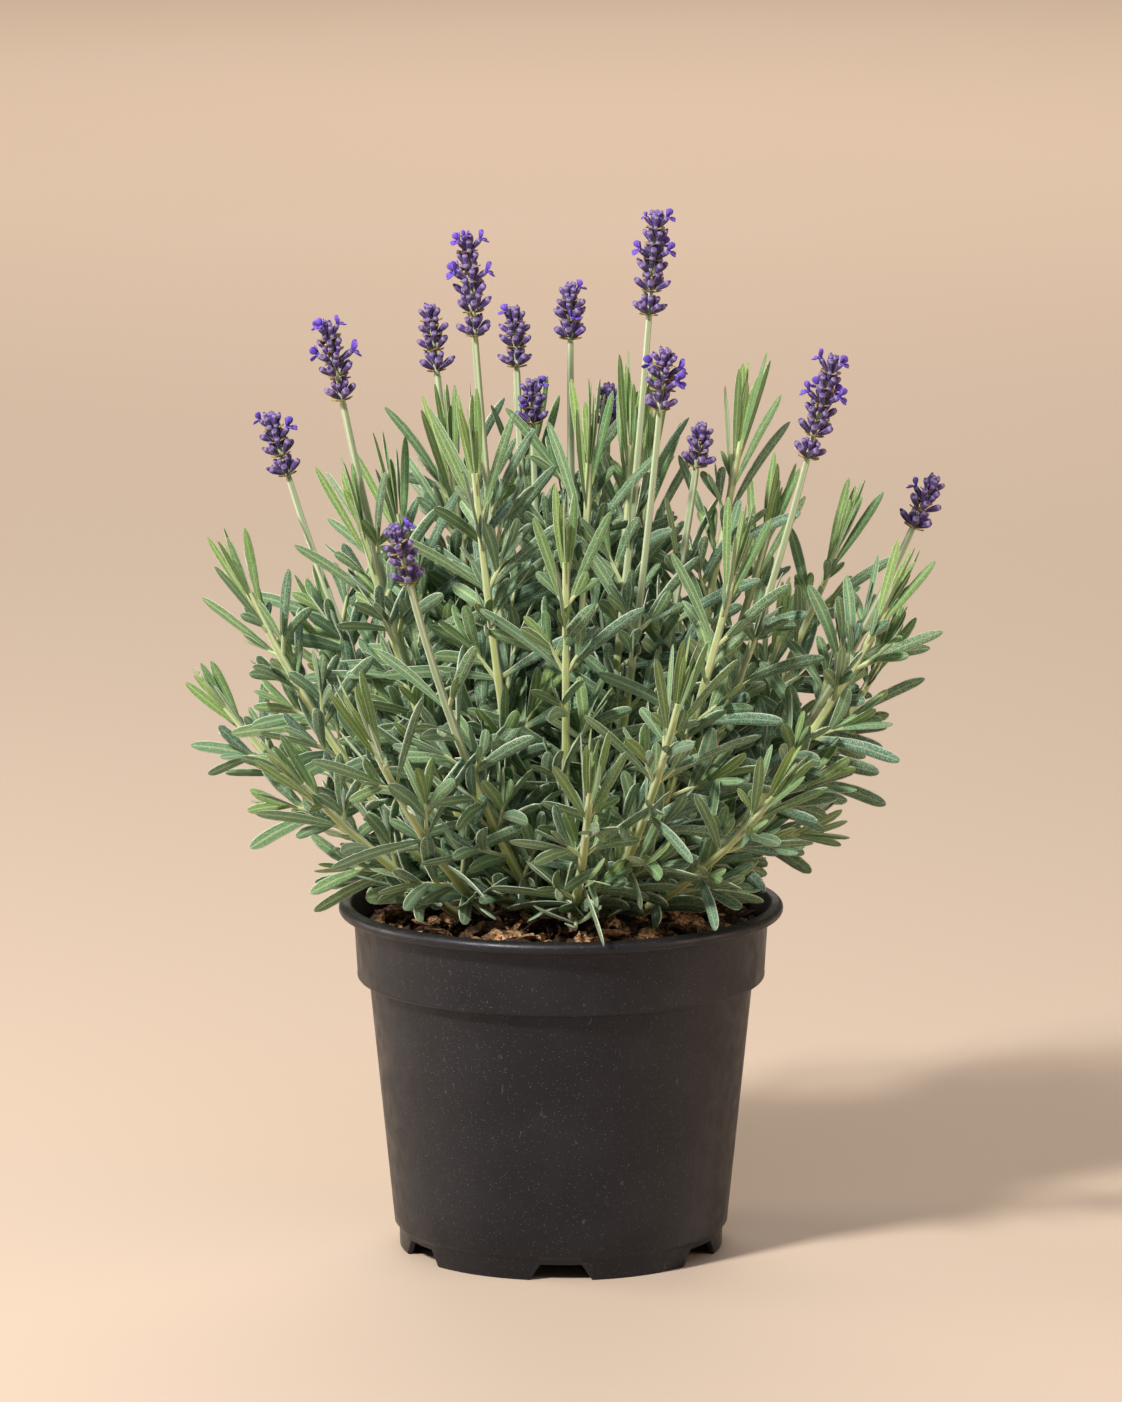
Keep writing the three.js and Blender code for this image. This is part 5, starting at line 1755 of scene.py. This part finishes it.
# %% A head as points and a line
def head_object(name, head, line):
    """Points with attributes, and the stalk as edges, ready for the geometry tree."""
    kinds, places, ways, outwards, sizes, shades = (list(column) for column in zip(*head.rows))
    start, extra = len(places), len(line)
    edges = [(start + i, start + i + 1) for i in range(extra - 1)]
    made = mesh_object(name, [tuple(np.asarray(p) * MM) for p in places + line], [], edges)
    carry(made, "kind", kinds + [RACHIS] * extra)
    carry(made, "part_size", [size * MM for size in sizes] + [0.0] * extra)
    carry(made, "part_shade", shades + [0.5] * extra)
    carry(made, "half_width", [0.0] * start + list(np.linspace(1.25, 0.7, extra) * MM))
    carry(made, "leaf_along", [0.8] * (start + extra))
    carry(made, "leaf_tint", [float(PEDUNCLE)] * (start + extra))
    carry(made, "part_way", ways + [head.along] * extra)
    carry(made, "facing", outwards + [head.first] * extra)
    return made

# %% [markdown]
# ### Setting the parts on the stalk
# The head's tree reads the points by kind. For each kind it puts one shape on every
# point, turns it so that its length follows the bud and its back faces outwards, scales
# it, and hands the point's shade to the copy, so each bud gets its own depth of violet.

# %% Geometry nodes: a flower head
def set_on_points(tree, given, kind, part, material):
    """One shape on every point of a kind."""
    read = {}
    for label, data_type in (("part_way", "FLOAT_VECTOR"), ("facing", "FLOAT_VECTOR"),
                             ("part_size", "FLOAT"), ("part_shade", "FLOAT")):
        read[label] = node(tree, "GeometryNodeInputNamedAttribute", {"Name": label},
                           data_type=data_type)
    turn = node(tree, "FunctionNodeAxesToRotation", {0: read["part_way"], 1: read["facing"]},
                primary_axis="Z", secondary_axis="Y")
    shape = node(tree, "GeometryNodeObjectInfo", {"Object": given.outputs[part]})
    placed = node(tree, "GeometryNodeInstanceOnPoints", {
        "Points": given.outputs["Geometry"], "Selection": of_kind(tree, kind),
        "Instance": shape.outputs["Geometry"], "Rotation": turn, "Scale": read["part_size"],
    })
    shaded = node(tree, "GeometryNodeStoreNamedAttribute", {
        "Geometry": placed, "Name": "shade", "Value": read["part_shade"],
    }, data_type="FLOAT", domain="INSTANCE")
    loose = node(tree, "GeometryNodeRealizeInstances", {"Geometry": shaded})
    return node(tree, "GeometryNodeSetMaterial", {
        "Geometry": loose, "Material": given.outputs[material],
    })


def flower_head_tree():
    tree, given = new_tree("flower_head", {
        "Calyx": ("Object", None), "Closed corolla": ("Object", None),
        "Corolla": ("Object", None), "Bract": ("Object", None),
        "Squareness": ("Float", 3.0), "Stem": ("Material", None),
        "Violet down": ("Material", None), "Petals": ("Material", None),
        "Paper": ("Material", None),
    })
    give_out(tree, [
        drawn_part(tree, given, RACHIS, stem_section(tree, given, 10), "Stem"),
        set_on_points(tree, given, CALYX, "Calyx", "Violet down"),
        set_on_points(tree, given, CLOSED, "Closed corolla", "Petals"),
        set_on_points(tree, given, OPEN, "Corolla", "Petals"),
        set_on_points(tree, given, BRACT, "Bract", "Paper"),
    ])
    return tree

# %% [markdown]
# ### Violet down, petals and bracts
# The calyx is dark blue-violet under a grey-lilac down, greener at its foot, with fine
# ribs. The open corolla is thinner and far brighter, a clear violet that lets some light
# through. Spent ones are dull tan and unopened ones a dark violet. The bracts are dry,
# olive to tan paper. As on the leaves, the flecks of down are coarser than real hairs.

# %% Calyx material
def make_calyx_material():
    material, tree, shader = new_material("violet_downy_calyx", {
        "Roughness": 0.7, "Specular IOR Level": 0.3, "Sheen Weight": 0.45,
        "Sheen Roughness": 0.25, "Sheen Tint": srgb("#e3daf2"),
    })
    shade = node(tree, "ShaderNodeAttribute", attribute_name="shade").outputs["Fac"]
    rib = node(tree, "ShaderNodeAttribute", attribute_name="part_rib").outputs["Fac"]
    body = laid_over(tree, "#1a0d39", "#3e2578", shade)
    body = laid_over(tree, body, "#6f6a58", carried(tree, "part_along", 0.34, 0.05), 0.8)
    # The ribs are laid paler, partly for their own down and partly as painted light on the raised
    # ribs, which leaves painted shade in the hollows between them.
    body = laid_over(tree, body, "#8676b0", rib, 0.28)
    body = laid_over(tree, body, "#bdb0d2", patches(tree, 0.5, 3.0, 0.46, 0.66), 0.18)
    body = laid_over(tree, body, "#a796c8", carried(tree, "part_along", 0.7, 0.88),
                     carried(tree, "part_along", 0.99, 0.9), 0.5)
    tree.links.new(body, shader.inputs["Base Color"])
    roughened(tree, shader, 0.4, 2.0, 0.4, 0.15)
    return material

# %% Corolla material
def make_petal_material():
    material, tree, shader = new_material("violet_corolla", {
        "Roughness": 0.55, "Subsurface Weight": 0.15, "Subsurface Scale": 0.6 * MM,
    })
    along = node(tree, "ShaderNodeAttribute", attribute_name="part_along").outputs["Fac"]
    bright = laid_over(tree, "#443292", "#674bc0", along)
    bright = laid_over(tree, bright, "#4c3a9e", patches(tree, 0.8, 2.0, 0.45, 0.65), 0.3)
    fresh = laid_over(tree, "#45327a", bright, carried(tree, "shade", 0.4, 0.7))
    colour = laid_over(tree, fresh, "#a58f68", carried(tree, "shade", 0.16, 0.02))
    tree.links.new(colour, shader.inputs["Base Color"])
    return material

# %% Bract material
def make_bract_material():
    material, tree, shader = new_material("papery_bract", {"Roughness": 0.75})
    shade = node(tree, "ShaderNodeAttribute", attribute_name="shade").outputs["Fac"]
    olive = laid_over(tree, "#8a8650", "#a8905c", shade)
    streaks = patches(tree, 0.9, 3.0, 0.35, 0.7)
    tree.links.new(laid_over(tree, olive, "#5f5a3e", streaks, 0.5), shader.inputs["Base Color"])
    return material

# %% Make every head
head_tree = flower_head_tree()
head_finish = {
    "stem": stem_material, "violet_down": make_calyx_material(),
    "petals": make_petal_material(), "paper": make_bract_material(),
}


def make_head(stem, number, seed):
    head, line = head_points(stem, np.random.default_rng(seed))
    made = head_object(f"flower_head_{number:02d}_buds", head, line)
    parts = {label.replace(" ", "_").lower(): part for label, part in HEAD_PARTS.items()}
    use_tree(made, head_tree, **parts, **head_finish)
    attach(made, "root")
    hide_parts(f"flower_head_{number:02d}")
    return made


spikes = [stem for stem in stems if stem.bare]
heads = [make_head(stem, i + 1, 300 + i) for i, stem in enumerate(spikes)]
for part in HEAD_PARTS.values():
    bpy.data.objects.remove(part)
print("flower heads:", sum(len(head.data.polygons) for head in heads), "faces")
